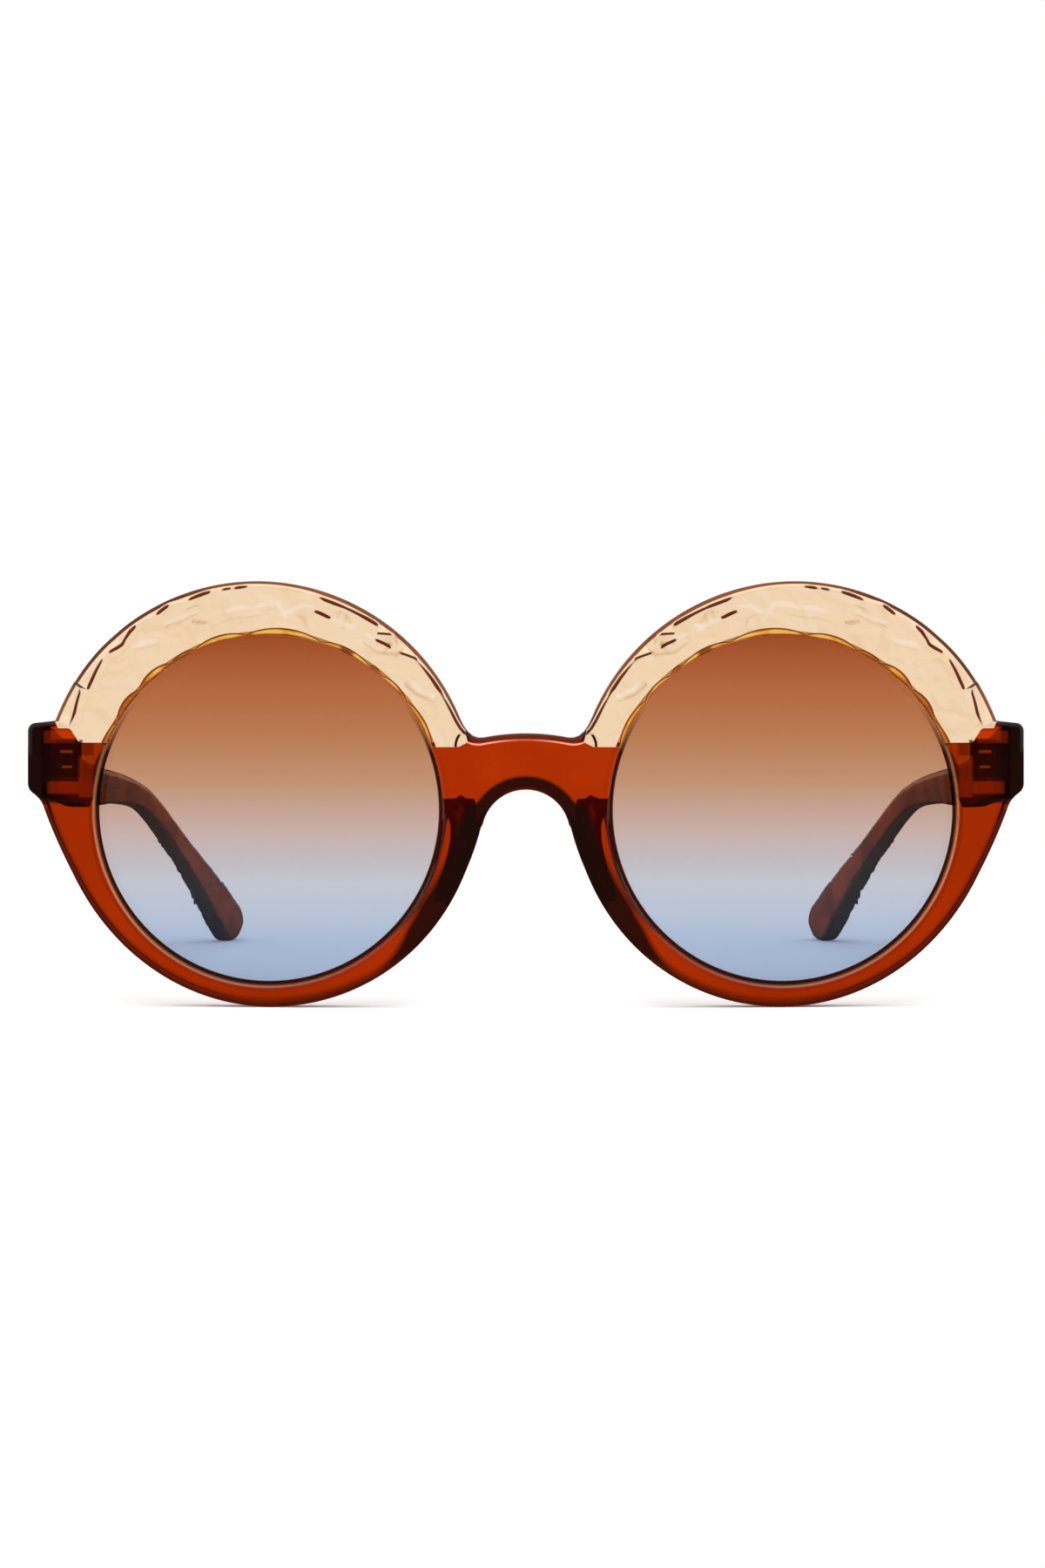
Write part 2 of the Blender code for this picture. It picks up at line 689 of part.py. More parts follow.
def temple_plate(name, grow):
    """The plate sunk in the inner face of the right temple, or its pocket."""
    axis = hinge_axis()
    start = axis.y - TEMPLE_PLATE_LEAD
    place = Matrix.Translation(
        (TEMPLE_INNER_X + PLATE_SUNK / 2, start + TEMPLE_PLATE_LENGTH / 2, HINGE_Z)
    )
    size = (PLATE_SUNK + 2 * grow, TEMPLE_PLATE_LENGTH + 2 * grow, PLATE_HEIGHT + 2 * grow)
    return box(name, size, place)


def add_knuckles(leaf, indices, web_direction, web_length):
    """Joins knuckles and their webs to a hinge leaf, and bores them for the screw."""
    axis = hinge_axis()
    for index in indices:
        centre = Vector((axis.x, axis.y, knuckle_z(index)))
        combine(leaf, cylinder("knuckle", KNUCKLE_RADIUS, KNUCKLE_HEIGHT, centre), "UNION")
        turn = Matrix.Rotation(math.atan2(web_direction.y, web_direction.x), 4, "Z")
        shift = Matrix.Translation(AXIS_X * web_length / 2)
        size = (web_length, HINGE_WEB, KNUCKLE_HEIGHT)
        combine(leaf, box("web", size, Matrix.Translation(centre) @ turn @ shift), "UNION")
    bore = SCREW_RADIUS + SCREW_CLEARANCE
    combine(leaf, cylinder("screw_bore", bore, HINGE_HEIGHT + OVERRUN, axis), "DIFFERENCE")


def make_front_hinge():
    """The right hinge's front leaf, with its three knuckles."""
    leaf = front_plate("front_hinge_right", 0)
    slope = wrap_angle(HINGE_X)
    forwards = Vector((math.sin(slope), -math.cos(slope), 0))
    add_knuckles(leaf, range(0, KNUCKLE_COUNT, 2), forwards, HINGE_STANDOFF)
    return leaf


def make_temple_hinge():
    """The right hinge's temple leaf, with its two knuckles."""
    leaf = temple_plate("temple_hinge_right", 0)
    reach = TEMPLE_INNER_X + PLATE_SUNK / 2 - HINGE_X
    add_knuckles(leaf, range(1, KNUCKLE_COUNT, 2), AXIS_X, reach)
    return leaf


def make_screw():
    """The right hinge's slotted screw, dropped in from above."""
    axis = hinge_axis()
    top = axis.z + HINGE_HEIGHT / 2
    bottom = axis.z - HINGE_HEIGHT / 2
    head_low = top + KNUCKLE_GAP / 2
    head_high = head_low + SCREW_HEAD_HEIGHT
    middle = Vector((axis.x, axis.y, (head_low + head_high) / 2))
    screw = cylinder("hinge_screw_right", SCREW_HEAD_RADIUS, SCREW_HEAD_HEIGHT, middle)
    shaft_top = middle.z
    shaft = Vector((axis.x, axis.y, (shaft_top + bottom) / 2))
    combine(screw, cylinder("shaft", SCREW_RADIUS, shaft_top - bottom, shaft), "UNION")
    slot_length = 2 * (SCREW_HEAD_RADIUS + OVERRUN)
    slot_size = (slot_length, SCREW_SLOT_WIDTH, 2 * SCREW_SLOT_DEPTH)
    slot = box("slot", slot_size, Matrix.Translation((axis.x, axis.y, head_high)))
    combine(screw, slot, "DIFFERENCE")
    return screw


def smooth_stations(rows, steps):
    """Rows on a smooth curve through the given ones, steps to each span."""
    ends = [[2 * a - b for a, b in zip(rows[0], rows[1])]]
    ends += [list(row) for row in rows]
    ends.append([2 * a - b for a, b in zip(rows[-1], rows[-2])])
    found = []
    for i in range(1, len(ends) - 2):
        for step in range(steps):
            t = step / steps
            row = []
            for a, b, c, d in zip(*ends[i - 1 : i + 3]):
                bend = (2 * a - 5 * b + 4 * c - d) * t * t
                twist = (-a + 3 * b - 3 * c + d) * t * t * t
                row.append((2 * b + (c - a) * t + bend + twist) / 2)
            found.append(row)
    found.append(list(rows[-1]))
    return found


def temple_butt():
    """Y where the temple's mid thickness meets the endpiece, with its gap."""
    return back_face(END_X - TEMPLE_THICKNESS / 2) + BUTT_GAP


def temple_stations():
    """Centre line of a temple seen from its side: y, z and half its depth there."""
    reach = TEMPLE_REACH - TEMPLE_PADDLE_HALF_HEIGHT
    rise = END_MID_Z - TEMPLE_PADDLE_HALF_HEIGHT
    rows = []
    for reach_share, rise_share, root_share, paddle_share in TEMPLE_STATION_SHARES:
        half = TEMPLE_WAIST_HALF_HEIGHT
        half += root_share * (END_HALF_HEIGHT - TEMPLE_WAIST_HALF_HEIGHT)
        half += paddle_share * (TEMPLE_PADDLE_HALF_HEIGHT - TEMPLE_WAIST_HALF_HEIGHT)
        y = temple_butt() + reach_share * reach
        z = TEMPLE_PADDLE_HALF_HEIGHT + rise_share * rise
        rows.append((y, z, half))
    return smooth_stations(rows, TEMPLE_SPAN_STEPS)


def temple_outline():
    """The temple's contour seen from its side, with a round tip and a square hinge end."""
    stations = temple_stations()
    above = []
    below = []
    for i, (y, z, half) in enumerate(stations):
        before = stations[max(i - 1, 0)]
        after = stations[min(i + 1, len(stations) - 1)]
        angle = math.atan2(after[1] - before[1], after[0] - before[0])
        if i == 0:
            angle = 0
        above.append((y - half * math.sin(angle), z + half * math.cos(angle)))
        below.append((y + half * math.sin(angle), z - half * math.cos(angle)))
    y, z, half = stations[-1]
    turn = math.degrees(angle)
    tip = arc(y, z, half, turn + 90, turn - 90, TIP_STEPS)[1:-1]
    root_y = above[0][0] - OVERRUN
    root = [(root_y, below[0][1]), (root_y, above[0][1])]
    return root + above + tip + below[::-1]


def temple_inset(y):
    """How far the temple has moved towards the head at a given depth."""
    start = temple_butt() + TEMPLE_STRAIGHT
    inset = math.tan(math.radians(TEMPLE_TAPER_DEGREES)) * max(0, y - start)
    curl = max(0, y - temple_butt() - TIP_CURL_START + TEMPLE_STRAIGHT)
    return inset + curl * curl / (2 * TIP_CURL_RADIUS)


def temple_thickness(y):
    """The temple's thickness at a given depth."""
    share = (y - temple_butt()) / TEMPLE_REACH
    bend = TIP_CURL_START / TEMPLE_REACH
    if share < bend:
        blend = max(0, share) / bend
        return TEMPLE_THICKNESS + (TEMPLE_WAIST_THICKNESS - TEMPLE_THICKNESS) * blend
    blend = (share - bend) / (1 - bend)
    return TEMPLE_WAIST_THICKNESS + (TEMPLE_PADDLE_THICKNESS - TEMPLE_WAIST_THICKNESS) * blend


def make_temple():
    """The right temple, with its hinge pocket and its channel for the core wire."""
    side = flat_piece("temple_right", [temple_outline()], TEMPLE_THICKNESS, TEMPLE_EDGE_ROUND)
    quarter = Matrix.Rotation(math.pi / 2, 4, "Z")
    side.data.transform(Matrix.Translation(AXIS_X * END_X) @ quarter)
    sliced(side, AXIS_Y, TEMPLE_STRIP, 0, temple_butt() + TEMPLE_REACH)
    middle = END_X - TEMPLE_THICKNESS / 2
    for vertex in side.data.vertices:
        y = vertex.co.y
        factor = temple_thickness(y) / TEMPLE_THICKNESS
        vertex.co.x = middle + (vertex.co.x - middle) * factor - temple_inset(y)
    turn = Matrix.Rotation(wrap_angle(middle), 4, "Z")
    place = Matrix.Translation((middle, temple_butt(), END_MID_Z)) @ turn
    block = 2 * (END_HALF_HEIGHT + OVERRUN)
    shift = Matrix.Translation(-AXIS_Y * block / 2)
    butt_cutter = box("butt_cutter", (block, block, block), place @ shift)
    combine(side, butt_cutter, "DIFFERENCE")
    combine(side, temple_plate("temple_pocket", POCKET_CLEARANCE), "DIFFERENCE")
    channel = core_path(temple_butt() - OVERRUN, core_stop() + CORE_CLEARANCE)
    combine(side, tube("core_channel", channel, CORE_RADIUS + CORE_CLEARANCE), "DIFFERENCE")
    return side


def height_at(stations, y):
    """Height of the temple's centre line at a depth, level past its ends."""
    for before, after in zip(stations, stations[1:]):
        if before[0] <= y <= after[0]:
            share = (y - before[0]) / (after[0] - before[0])
            return before[1] + (after[1] - before[1]) * share
    return stations[0][1] if y < stations[0][0] else stations[-1][1]


def core_path(start, stop):
    """The core wire's route down the right temple, between two depths."""
    stations = temple_stations()
    depths = [start, *(row[0] for row in stations if start < row[0] < stop), stop]
    straight = TEMPLE_INNER_X + CORE_INSET
    return [Vector((straight - temple_inset(y), y, height_at(stations, y))) for y in depths]


def core_stop():
    """Depth at which the core wire ends."""
    return temple_butt() + CORE_END_SHARE * TEMPLE_REACH


def make_core_wire():
    """The right temple's core wire."""
    start = temple_butt() + CORE_START
    return tube("core_wire_right", core_path(start, core_stop()), CORE_RADIUS)


def shade_round(obj):
    """Smooth shading that keeps the sharp edges."""
    obj.data.shade_smooth()
    obj.data.set_sharp_from_angle(angle=math.radians(SHARP_DEGREES))


def finish_piece(obj, material, parent):
    """Puts a finished piece in the object's collection, under what carries it."""
    obj.data.materials.clear()
    obj.data.materials.append(material)
    shade_round(obj)
    WORKSHOP.objects.unlink(obj)
    SUNGLASSES.objects.link(obj)
    obj.parent = parent
    obj.matrix_parent_inverse = parent.matrix_world.inverted()


def new_empty(name, place, parent=None):
    """An empty that carries pieces and says where they turn."""
    empty = bpy.data.objects.new(name, None)
    empty.location = place
    empty.empty_display_size = HINGE_HEIGHT
    SUNGLASSES.objects.link(empty)
    bpy.context.view_layer.update()
    if parent:
        empty.parent = parent
        empty.matrix_parent_inverse = parent.matrix_world.inverted()
        bpy.context.view_layer.update()
    return empty


def stand_on_origin(root, pieces):
    """Moves the whole object so that it stands centred on the origin."""
    corners = [piece.matrix_world @ v.co for piece in pieces for v in piece.data.vertices]
    low = min(corner.y for corner in corners)
    high = max(corner.y for corner in corners)
    root.location = (0, -(low + high) / 2, -min(corner.z for corner in corners))


def main():
    finishes = {
        "brown": new_material("brown_acetate", (0.28, 0.025, 0.004), 0.12, 0.0, 0.6),
        "champagne": new_material("champagne_acetate", (0.88, 0.66, 0.42), 0.12, 0.0, 0.6),
        "lens": new_material("gradient_lens", (0.42, 0.22, 0.14), 0.05, 0.0, 0.8),
        "metal": new_material("hinge_metal", (0.55, 0.43, 0.25), 0.3, 1.0),
        "core": new_material("core_wire_metal", (0.62, 0.6, 0.56), 0.35, 1.0),
    }
    root = new_empty("sunglasses", (0, 0, 0))
    frame, brow = make_front()
    finish_piece(frame, finishes["brown"], root)

    carried_by_front = [
        (brow, "brow", "champagne"),
        (make_lens(), "lens", "lens"),
        (make_nose_pad(), "nose_pad", "brown"),
        (make_front_hinge(), "front_hinge", "metal"),
        (make_screw(), "hinge_screw", "metal"),
    ]
    carried_by_temple = [
        (make_temple(), "temple", "brown"),
        (make_temple_hinge(), "temple_hinge", "metal"),
        (make_core_wire(), "core_wire", "core"),
    ]
    axis = hinge_axis()
    axles = {
        "right": new_empty("hinge_axis_right", axis, root),
        "left": new_empty("hinge_axis_left", (-axis.x, axis.y, axis.z), root),
    }
    pieces = [frame]
    for piece, name, finish in carried_by_front:
        twin = mirrored(piece, f"{name}_left")
        finish_piece(piece, finishes[finish], root)
        finish_piece(twin, finishes[finish], root)
        pieces += [piece, twin]
    for piece, name, finish in carried_by_temple:
        twin = mirrored(piece, f"{name}_left")
        finish_piece(piece, finishes[finish], axles["right"])
        finish_piece(twin, finishes[finish], axles["left"])
        pieces += [piece, twin]
    for side, axle in axles.items():
        axle["fold_degrees"] = FOLD_DEGREES[side]
    bpy.context.view_layer.update()
    stand_on_origin(root, pieces)
    bpy.context.view_layer.update()
    for side, axle in axles.items():
        x, y, z = axle.matrix_world.translation
        print(f"{side} hinge axis at {x:.6f}, {y:.6f}, {z:.6f}")
    print(f"whole object moved by {root.location.y:.6f}, {root.location.z:.6f}")


clear_scene()
WORKSHOP = new_collection("workshop")
CUTTERS = new_collection("cutters")
SUNGLASSES = new_collection("round_sunglasses")
main()
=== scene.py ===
"""Round two-tone sunglasses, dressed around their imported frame.

Metres, +Z up. The front faces -Y and the temples run back along +Y. Left and right are as
seen by someone who looks at the front, so right is +X. Pieces are modelled on the right side,
with the front's middle at y = 0, then moved onto the frame and copied to the left.
"""

from __future__ import annotations

import json
import logging
import math
from collections.abc import Callable, Iterator, Sequence
from contextlib import contextmanager
from dataclasses import dataclass, field
from enum import Enum
from functools import cached_property

import bmesh
import bpy
from mathutils import Matrix, Vector, kdtree, noise

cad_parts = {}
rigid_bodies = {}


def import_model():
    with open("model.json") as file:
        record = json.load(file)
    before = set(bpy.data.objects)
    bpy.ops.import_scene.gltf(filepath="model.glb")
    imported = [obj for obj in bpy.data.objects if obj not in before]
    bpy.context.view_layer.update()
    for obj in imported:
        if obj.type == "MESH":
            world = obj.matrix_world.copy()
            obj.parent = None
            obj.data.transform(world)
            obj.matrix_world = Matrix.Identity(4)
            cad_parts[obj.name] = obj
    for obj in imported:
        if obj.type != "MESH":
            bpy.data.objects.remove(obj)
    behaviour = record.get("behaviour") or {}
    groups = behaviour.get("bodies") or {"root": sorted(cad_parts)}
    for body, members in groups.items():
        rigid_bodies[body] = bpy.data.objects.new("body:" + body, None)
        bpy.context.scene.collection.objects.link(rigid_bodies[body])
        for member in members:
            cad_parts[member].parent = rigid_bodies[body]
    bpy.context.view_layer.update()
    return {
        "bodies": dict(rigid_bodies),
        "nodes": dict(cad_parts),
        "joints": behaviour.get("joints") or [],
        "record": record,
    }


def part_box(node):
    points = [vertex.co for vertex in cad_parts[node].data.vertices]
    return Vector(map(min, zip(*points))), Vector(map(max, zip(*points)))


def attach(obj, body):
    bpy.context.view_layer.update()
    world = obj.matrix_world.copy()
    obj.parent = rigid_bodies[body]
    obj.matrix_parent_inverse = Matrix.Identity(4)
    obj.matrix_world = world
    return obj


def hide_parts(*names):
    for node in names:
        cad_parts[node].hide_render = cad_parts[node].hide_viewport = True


MM = 0.001
WELD = MM / 2000
STAND = Vector((0, -74.012, -0.017)) * MM
MARKS = "marks"
STROKES = "strokes"
LOG = logging.getLogger("sunglasses")

Point = tuple[float, float]
Fade = tuple[float, float]
Colour = tuple[float, float, float]


class Side(Enum):
    """The two sides of the object."""

    LEFT = -1
    RIGHT = 1

    @property
    def word(self) -> str:
        """The side's name as the frame's nodes spell it."""
        return self.name.lower()


class Cut(Enum):
    """What a tool does to the piece that it meets."""

    TAKE = "DIFFERENCE"
    KEEP = "INTERSECT"


# Modelling


def pick(obj: bpy.types.Object) -> None:
    """Leaves one object selected and active.

    Args:
        obj: The object that the next operators act on.
    """
    bpy.ops.object.select_all(action="DESELECT")
    obj.select_set(True)
    bpy.context.view_layer.objects.active = obj


@contextmanager
def editing(
    obj: bpy.types.Object, kind: str = "VERT", test: Callable | None = None
) -> Iterator[None]:
    """Edit mode on one object, with the elements that pass a test selected.

    Args:
        obj: The mesh object.
        kind: VERT, EDGE or FACE.
        test: Takes an element and says whether it is selected; all are when it is left out.
    """
    pick(obj)
    bpy.ops.object.mode_set(mode="EDIT")
    choose(obj, kind, test)
    yield
    bpy.ops.object.mode_set(mode="OBJECT")


def choose(obj: bpy.types.Object, kind: str = "VERT", test: Callable | None = None) -> None:
    """Selects elements of the object in edit mode.

    Args:
        obj: The mesh object.
        kind: VERT, EDGE or FACE.
        test: Takes an element and says whether it is selected; all are when it is left out.
    """
    bpy.ops.mesh.select_mode(type=kind)
    bpy.ops.mesh.select_all(action="SELECT" if test is None else "DESELECT")
    if test is None:
        return
    shape = bmesh.from_edit_mesh(obj.data)
    for element in {"VERT": shape.verts, "EDGE": shape.edges, "FACE": shape.faces}[kind]:
        if test(element):
            element.select_set(True)
    bmesh.update_edit_mesh(obj.data)


def extrude(way: Vector) -> None:
    """Extrudes what is selected and moves it."""
    bpy.ops.mesh.extrude_region_move(TRANSFORM_OT_translate={"value": tuple(way)})


def place_selected(
    obj: bpy.types.Object, before: Sequence[Vector], after: Sequence[Vector]
) -> None:
    """Moves each selected point from its old place to its new one.

    Args:
        obj: The object in edit mode.
        before: Where the selected points are.
        after: Where they go, in the same order.
    """
    shape = bmesh.from_edit_mesh(obj.data)
    spare = [vertex for vertex in shape.verts if vertex.select]
    for old, new in zip(before, after):
        nearest = min(spare, key=lambda vertex: (vertex.co - old).length_squared)
        spare.remove(nearest)
        nearest.co = new
    bmesh.update_edit_mesh(obj.data)


def loop_through(name: str, points: Sequence[Vector]) -> bpy.types.Object:
    """A closed loop of edges, made from a circle.

    Args:
        name: The object's name.
        points: The loop's points in order.

    Returns:
        The object.
    """
    bpy.ops.mesh.primitive_circle_add(vertices=len(points), radius=MM)
    obj = bpy.context.object
    obj.name = name
    for vertex, point in zip(obj.data.vertices, points):
        vertex.co = point
    return obj


def loft(name: str, sections: Sequence[Sequence[Vector]]) -> bpy.types.Object:
    """A closed piece through sections that all have the same number of points.

    Args:
        name: The object's name.
        sections: The rings of points, in order.

    Returns:
        The object.
    """
    obj = loop_through(name, sections[0])
    with editing(obj):
        bpy.ops.mesh.edge_face_add()
        for before, after in zip(sections, sections[1:]):
            extrude(Vector())
            place_selected(obj, before, after)
        choose(obj)
        bpy.ops.mesh.normals_make_consistent(inside=False)
    return obj


def prism(name: str, outline: Sequence[Point], low: float, high: float) -> bpy.types.Object:
    """A straight-sided tool with an outline in X and Z, from one Y to another."""
    rings = [[Vector((x, y, z)) for x, z in outline] for y in (low, high)]
    return loft(name, rings)


def block(name: str, size: Vector, middle: Vector) -> bpy.types.Object:
    """A box.

    Args:
        name: The object's name.
        size: Its three sides.
        middle: Where its middle is.

    Returns:
        The object.
    """
    bpy.ops.mesh.primitive_cube_add(size=1)
    obj = bpy.context.object
    obj.name = name
    obj.data.transform(Matrix.Translation(middle) @ Matrix.Diagonal((*size, 1)))
    return obj


def clean(obj: bpy.types.Object) -> None:
    """Joins points that lie on each other and points the faces outwards.

    Args:
        obj: The object.
    """
    with editing(obj):
        bpy.ops.mesh.remove_doubles(threshold=WELD)
        bpy.ops.mesh.dissolve_degenerate(threshold=WELD)
        choose(obj)
        bpy.ops.mesh.normals_make_consistent(inside=False)


def slice_up(obj: bpy.types.Object, way: Vector, step: float) -> None:
    """Adds edge loops across a piece at equal steps.

    Args:
        obj: The piece.
        way: The direction in which the loops follow each other.
        step: The distance between them.
    """
    reaches = [vertex.co.dot(way) for vertex in obj.data.vertices]
    low, high = math.ceil(min(reaches) / step), math.floor(max(reaches) / step)
    with editing(obj):
        for i in range(low, high + 1):
            choose(obj)
            bpy.ops.mesh.bisect(plane_co=tuple(way * i * step), plane_no=tuple(way))


def carve(target: bpy.types.Object, tool: bpy.types.Object, cut: Cut) -> None:
    """Cuts a piece with a tool, which is thrown away afterwards.

    Args:
        target: The piece.
        tool: The tool.
        cut: What the tool does.
    """
    pick(target)
    bpy.ops.object.modifier_add(type="BOOLEAN")
    modifier = target.modifiers[-1]
    modifier.operation = cut.value
    modifier.solver = "EXACT"
    modifier.object = tool
    bpy.ops.object.modifier_apply(modifier=modifier.name)
    clean(target)
    bpy.data.objects.remove(tool)


def paint(
    obj: bpy.types.Object, places: Sequence[Vector], layers: dict[str, Sequence[Sequence[float]]]
) -> None:
    """Gives each point of a piece the marks of the nearest of some places.

    Args:
        obj: The piece.
        places: The places.
        layers: For each attribute, four values for each place.
    """
    tree = kdtree.KDTree(len(places))
    for i, place in enumerate(places):
        tree.insert(place, i)
    tree.balance()
    nearest = [tree.find(vertex.co)[1] for vertex in obj.data.vertices]
    for name, marks in layers.items():
        layer = obj.data.attributes.new(name, "FLOAT_COLOR", "POINT")
        for i, item in zip(nearest, layer.data):
            item.color = marks[i]


def mirrored(obj: bpy.types.Object, name: str) -> bpy.types.Object:
    """A copy on the other side of the middle plane.

    Args:
        obj: The object that is copied.
        name: The copy's name.

    Returns:
        The copy.
    """
    twin = bpy.data.objects.new(name, obj.data.copy())
    bpy.context.scene.collection.objects.link(twin)
    twin.data.transform(Matrix.Scale(-1, 4, Vector((1, 0, 0))))
    twin.data.flip_normals()
    return twin


def arc(centre: Point, radius: float, start: float, stop: float, steps: int) -> list[Point]:
    """Points of a circle, ends included.

    Args:
        centre: The circle's centre.
        radius: Its radius.
        start: The first angle in degrees.
        stop: The last angle in degrees.
        steps: How many steps lie between them.

    Returns:
        The points.
    """
    found = []
    for i in range(steps + 1):
        angle = math.radians(start + (stop - start) * i / steps)
        found.append((centre[0] + radius * math.cos(angle), centre[1] + radius * math.sin(angle)))
    return found


def between(start: Point, stop: Point, steps: int) -> list[Point]:
    """Points on the straight line from one point to another, both left out."""
    shares = [i / steps for i in range(1, steps)]
    return [tuple(a + (b - a) * share for a, b in zip(start, stop)) for share in shares]


def eased(before: Sequence[Point], after: Sequence[Point], steps: int) -> list[Point]:
    """Points of a smooth corner from the end of one line to the start of another, ends left out.

    Args:
        before: The last two points of the first line.
        after: The first two points of the next one.
        steps: How many steps the corner has.

    Returns:
        The points.
    """
    start, stop = Vector(before[1]), Vector(after[0])
    out = start - Vector(before[0])
    back = stop - Vector(after[1])
    gap = stop - start
    reach = (gap.x * back.y - gap.y * back.x) / (out.x * back.y - out.y * back.x)
    corner = start + out * reach
    found = []
    for i in range(1, steps):
        share = i / steps
        place = start * (1 - share) ** 2 + corner * 2 * share * (1 - share) + stop * share**2
        found.append((place.x, place.y))
    return found


# Shader maths


def fill(place: bpy.types.NodeSocket, value: Sock | float | Sequence[float]) -> None:
    """Links an input or sets its value.

    Args:
        place: The input.
        value: A link, a number, a vector or an opaque colour.
    """
    if isinstance(value, Sock):
        place.id_data.links.new(value.socket, place)
    elif place.type == "RGBA":
        place.default_value = (*value, 1.0)
    else:
        place.default_value = value


@dataclass(frozen=True)
class Sock:
    """An output socket that Python expressions can reckon with."""

    socket: bpy.types.NodeSocket

    def reckon(self, operation: str, *values: Sock | float, clamp: bool = False) -> Sock:
        """Adds a Math node.

        Args:
            operation: The node's operation.
            values: Its inputs in order.
            clamp: Whether the result is kept between 0 and 1.

        Returns:
            The result.
        """
        node = self.socket.id_data.nodes.new("ShaderNodeMath")
        node.operation = operation
        node.use_clamp = clamp
        for place, value in zip(node.inputs, values):
            fill(place, value)
        return Sock(node.outputs[0])

    def __add__(self, other: Sock | float) -> Sock:
        """The sum."""
        return self.reckon("ADD", self, other)

    __radd__ = __add__

    def __sub__(self, other: Sock | float) -> Sock:
        """The difference."""
        return self.reckon("SUBTRACT", self, other)

    def __rsub__(self, other: Sock | float) -> Sock:
        """The difference, from the other side."""
        return self.reckon("SUBTRACT", other, self)

    def __mul__(self, other: Sock | float) -> Sock:
        """The product."""
        return self.reckon("MULTIPLY", self, other)

    __rmul__ = __mul__

    def __truediv__(self, other: Sock | float) -> Sock:
        """The quotient."""
        return self.reckon("DIVIDE", self, other)

    def __pow__(self, other: Sock | float) -> Sock:
        """The power."""
        return self.reckon("POWER", self, other)

    def __abs__(self) -> Sock:
        """The size without its sign."""
        return self.reckon("ABSOLUTE", self)

    def clamped(self) -> Sock:
        """The value kept between 0 and 1."""
        return self.reckon("ADD", self, 0.0, clamp=True)

    def beside(self, out: int | str) -> Sock:
        """Another output of the same node."""
        return Sock(self.socket.node.outputs[out])


class Nodes:
    """The nodes of one material or of the world."""

    def __init__(self, tree: bpy.types.NodeTree) -> None:
        """Empties the node tree."""
        self.tree = tree
        tree.nodes.clear()

    def add(
        self, kind: str, values: dict | None = None, out: int | str = 0, **settings: object
    ) -> Sock | None:
        """Adds any node.

        Args:
            kind: The node's type without the words ShaderNode.
            values: Values or links by socket name or index.
            out: The output that is wanted.
            settings: The node's properties; stops are a ramp's places and colours.

        Returns:
            That output, or nothing where the node has none.
        """
        node = self.tree.nodes.new(f"ShaderNode{kind}")
        for key, value in settings.items():
            if key == "stops":
                self.set_stops(node.color_ramp, value)
            else:
                setattr(node, key, value)
        for key, value in (values or {}).items():
            fill(node.inputs[key], value)
        return Sock(node.outputs[out]) if node.outputs else None

    @cached_property
    def place(self) -> Sock:
        """Object coordinates."""
        return self.add("TexCoord", out="Object")

    @cached_property
    def spot(self) -> tuple[Sock, Sock, Sock]:
        """Object coordinates, as X, Y and Z."""
        return self.axes(self.place)

    @cached_property
    def facing(self) -> tuple[Sock, Sock, Sock]:
        """How squarely a face lies across X, Y and Z, from 0 to 1."""
        return tuple(abs(part) for part in self.axes(self.add("TexCoord", out="Normal")))

    @staticmethod
    def set_stops(ramp: bpy.types.ColorRamp, stops: Sequence[tuple[float, Colour]]) -> None:
        """Fills a colour ramp.

        Args:
            ramp: The ramp.
            stops: Its places and colours.
        """
        while len(ramp.elements) < len(stops):
            ramp.elements.new(1.0)
        for element, (place, colour) in zip(ramp.elements, stops):
            element.position = place
            element.color = (*colour, 1.0)

    def mix(self, factor: Sock | float, first: Sock | Colour, second: Sock | Colour) -> Sock:
        """Blends two colours: a factor of 0 gives the first and 1 the second."""
        return self.add("Mix", {0: factor, 6: first, 7: second}, out=2, data_type="RGBA")

    def axes(self, source: Sock) -> tuple[Sock, Sock, Sock]:
        """The three parts of a vector or colour."""
        parts = self.add("SeparateXYZ", {0: source})
        return tuple(parts.beside(i) for i in range(3))

    def noise(
        self, scale: float, detail: float = 3.0, warp: float = 0.0, place: Sock | None = None
    ) -> Sock:
        """Smooth noise about 0.5, with as many lumps per metre as the scale says."""
        values = {"Scale": scale, "Detail": detail, "Distortion": warp}
        return self.add("TexNoise", {"Vector": place or self.place, **values})

    def bump(self, strength: float, distance: float, height: Sock) -> Sock:
        """A relief that only the shading shows."""
        values = {"Strength": strength, "Distance": distance, "Height": height}
        return self.add("Bump", values)

    def rays(self, *kinds: str) -> Sock:
        """1 for rays of the given kinds and 0 for others.

        Args:
            kinds: Names of the light path's outputs.

        Returns:
            The mask.
        """
        path = self.add("LightPath")
        mask = path.beside(kinds[0])
        for kind in kinds[1:]:
            mask = mask + path.beside(kind)
        return mask.clamped()

    def shaded(self, body: Sock, tint: Colour) -> Sock:
        """A surface that throws a tinted shadow instead of a black one."""
        tinted = self.add("BsdfTransparent", {"Color": tint})
        return self.add("MixShader", {0: self.rays("Is Shadow Ray"), 1: body, 2: tinted})


def steep(value: Sock, start: float, stop: float) -> Sock:
    """0 before start, 1 after stop and straight between them."""
    return ((value - start) * (1 / (stop - start))).clamped()


def new_material(name: str) -> tuple[bpy.types.Material, Nodes]:
    """A material with an empty node tree.

    Args:
        name: The material's name.

    Returns:
        The material and its nodes.
    """
    material = bpy.data.materials.new(name)
    material.use_nodes = True
    return material, Nodes(material.node_tree)


# Shared sizes


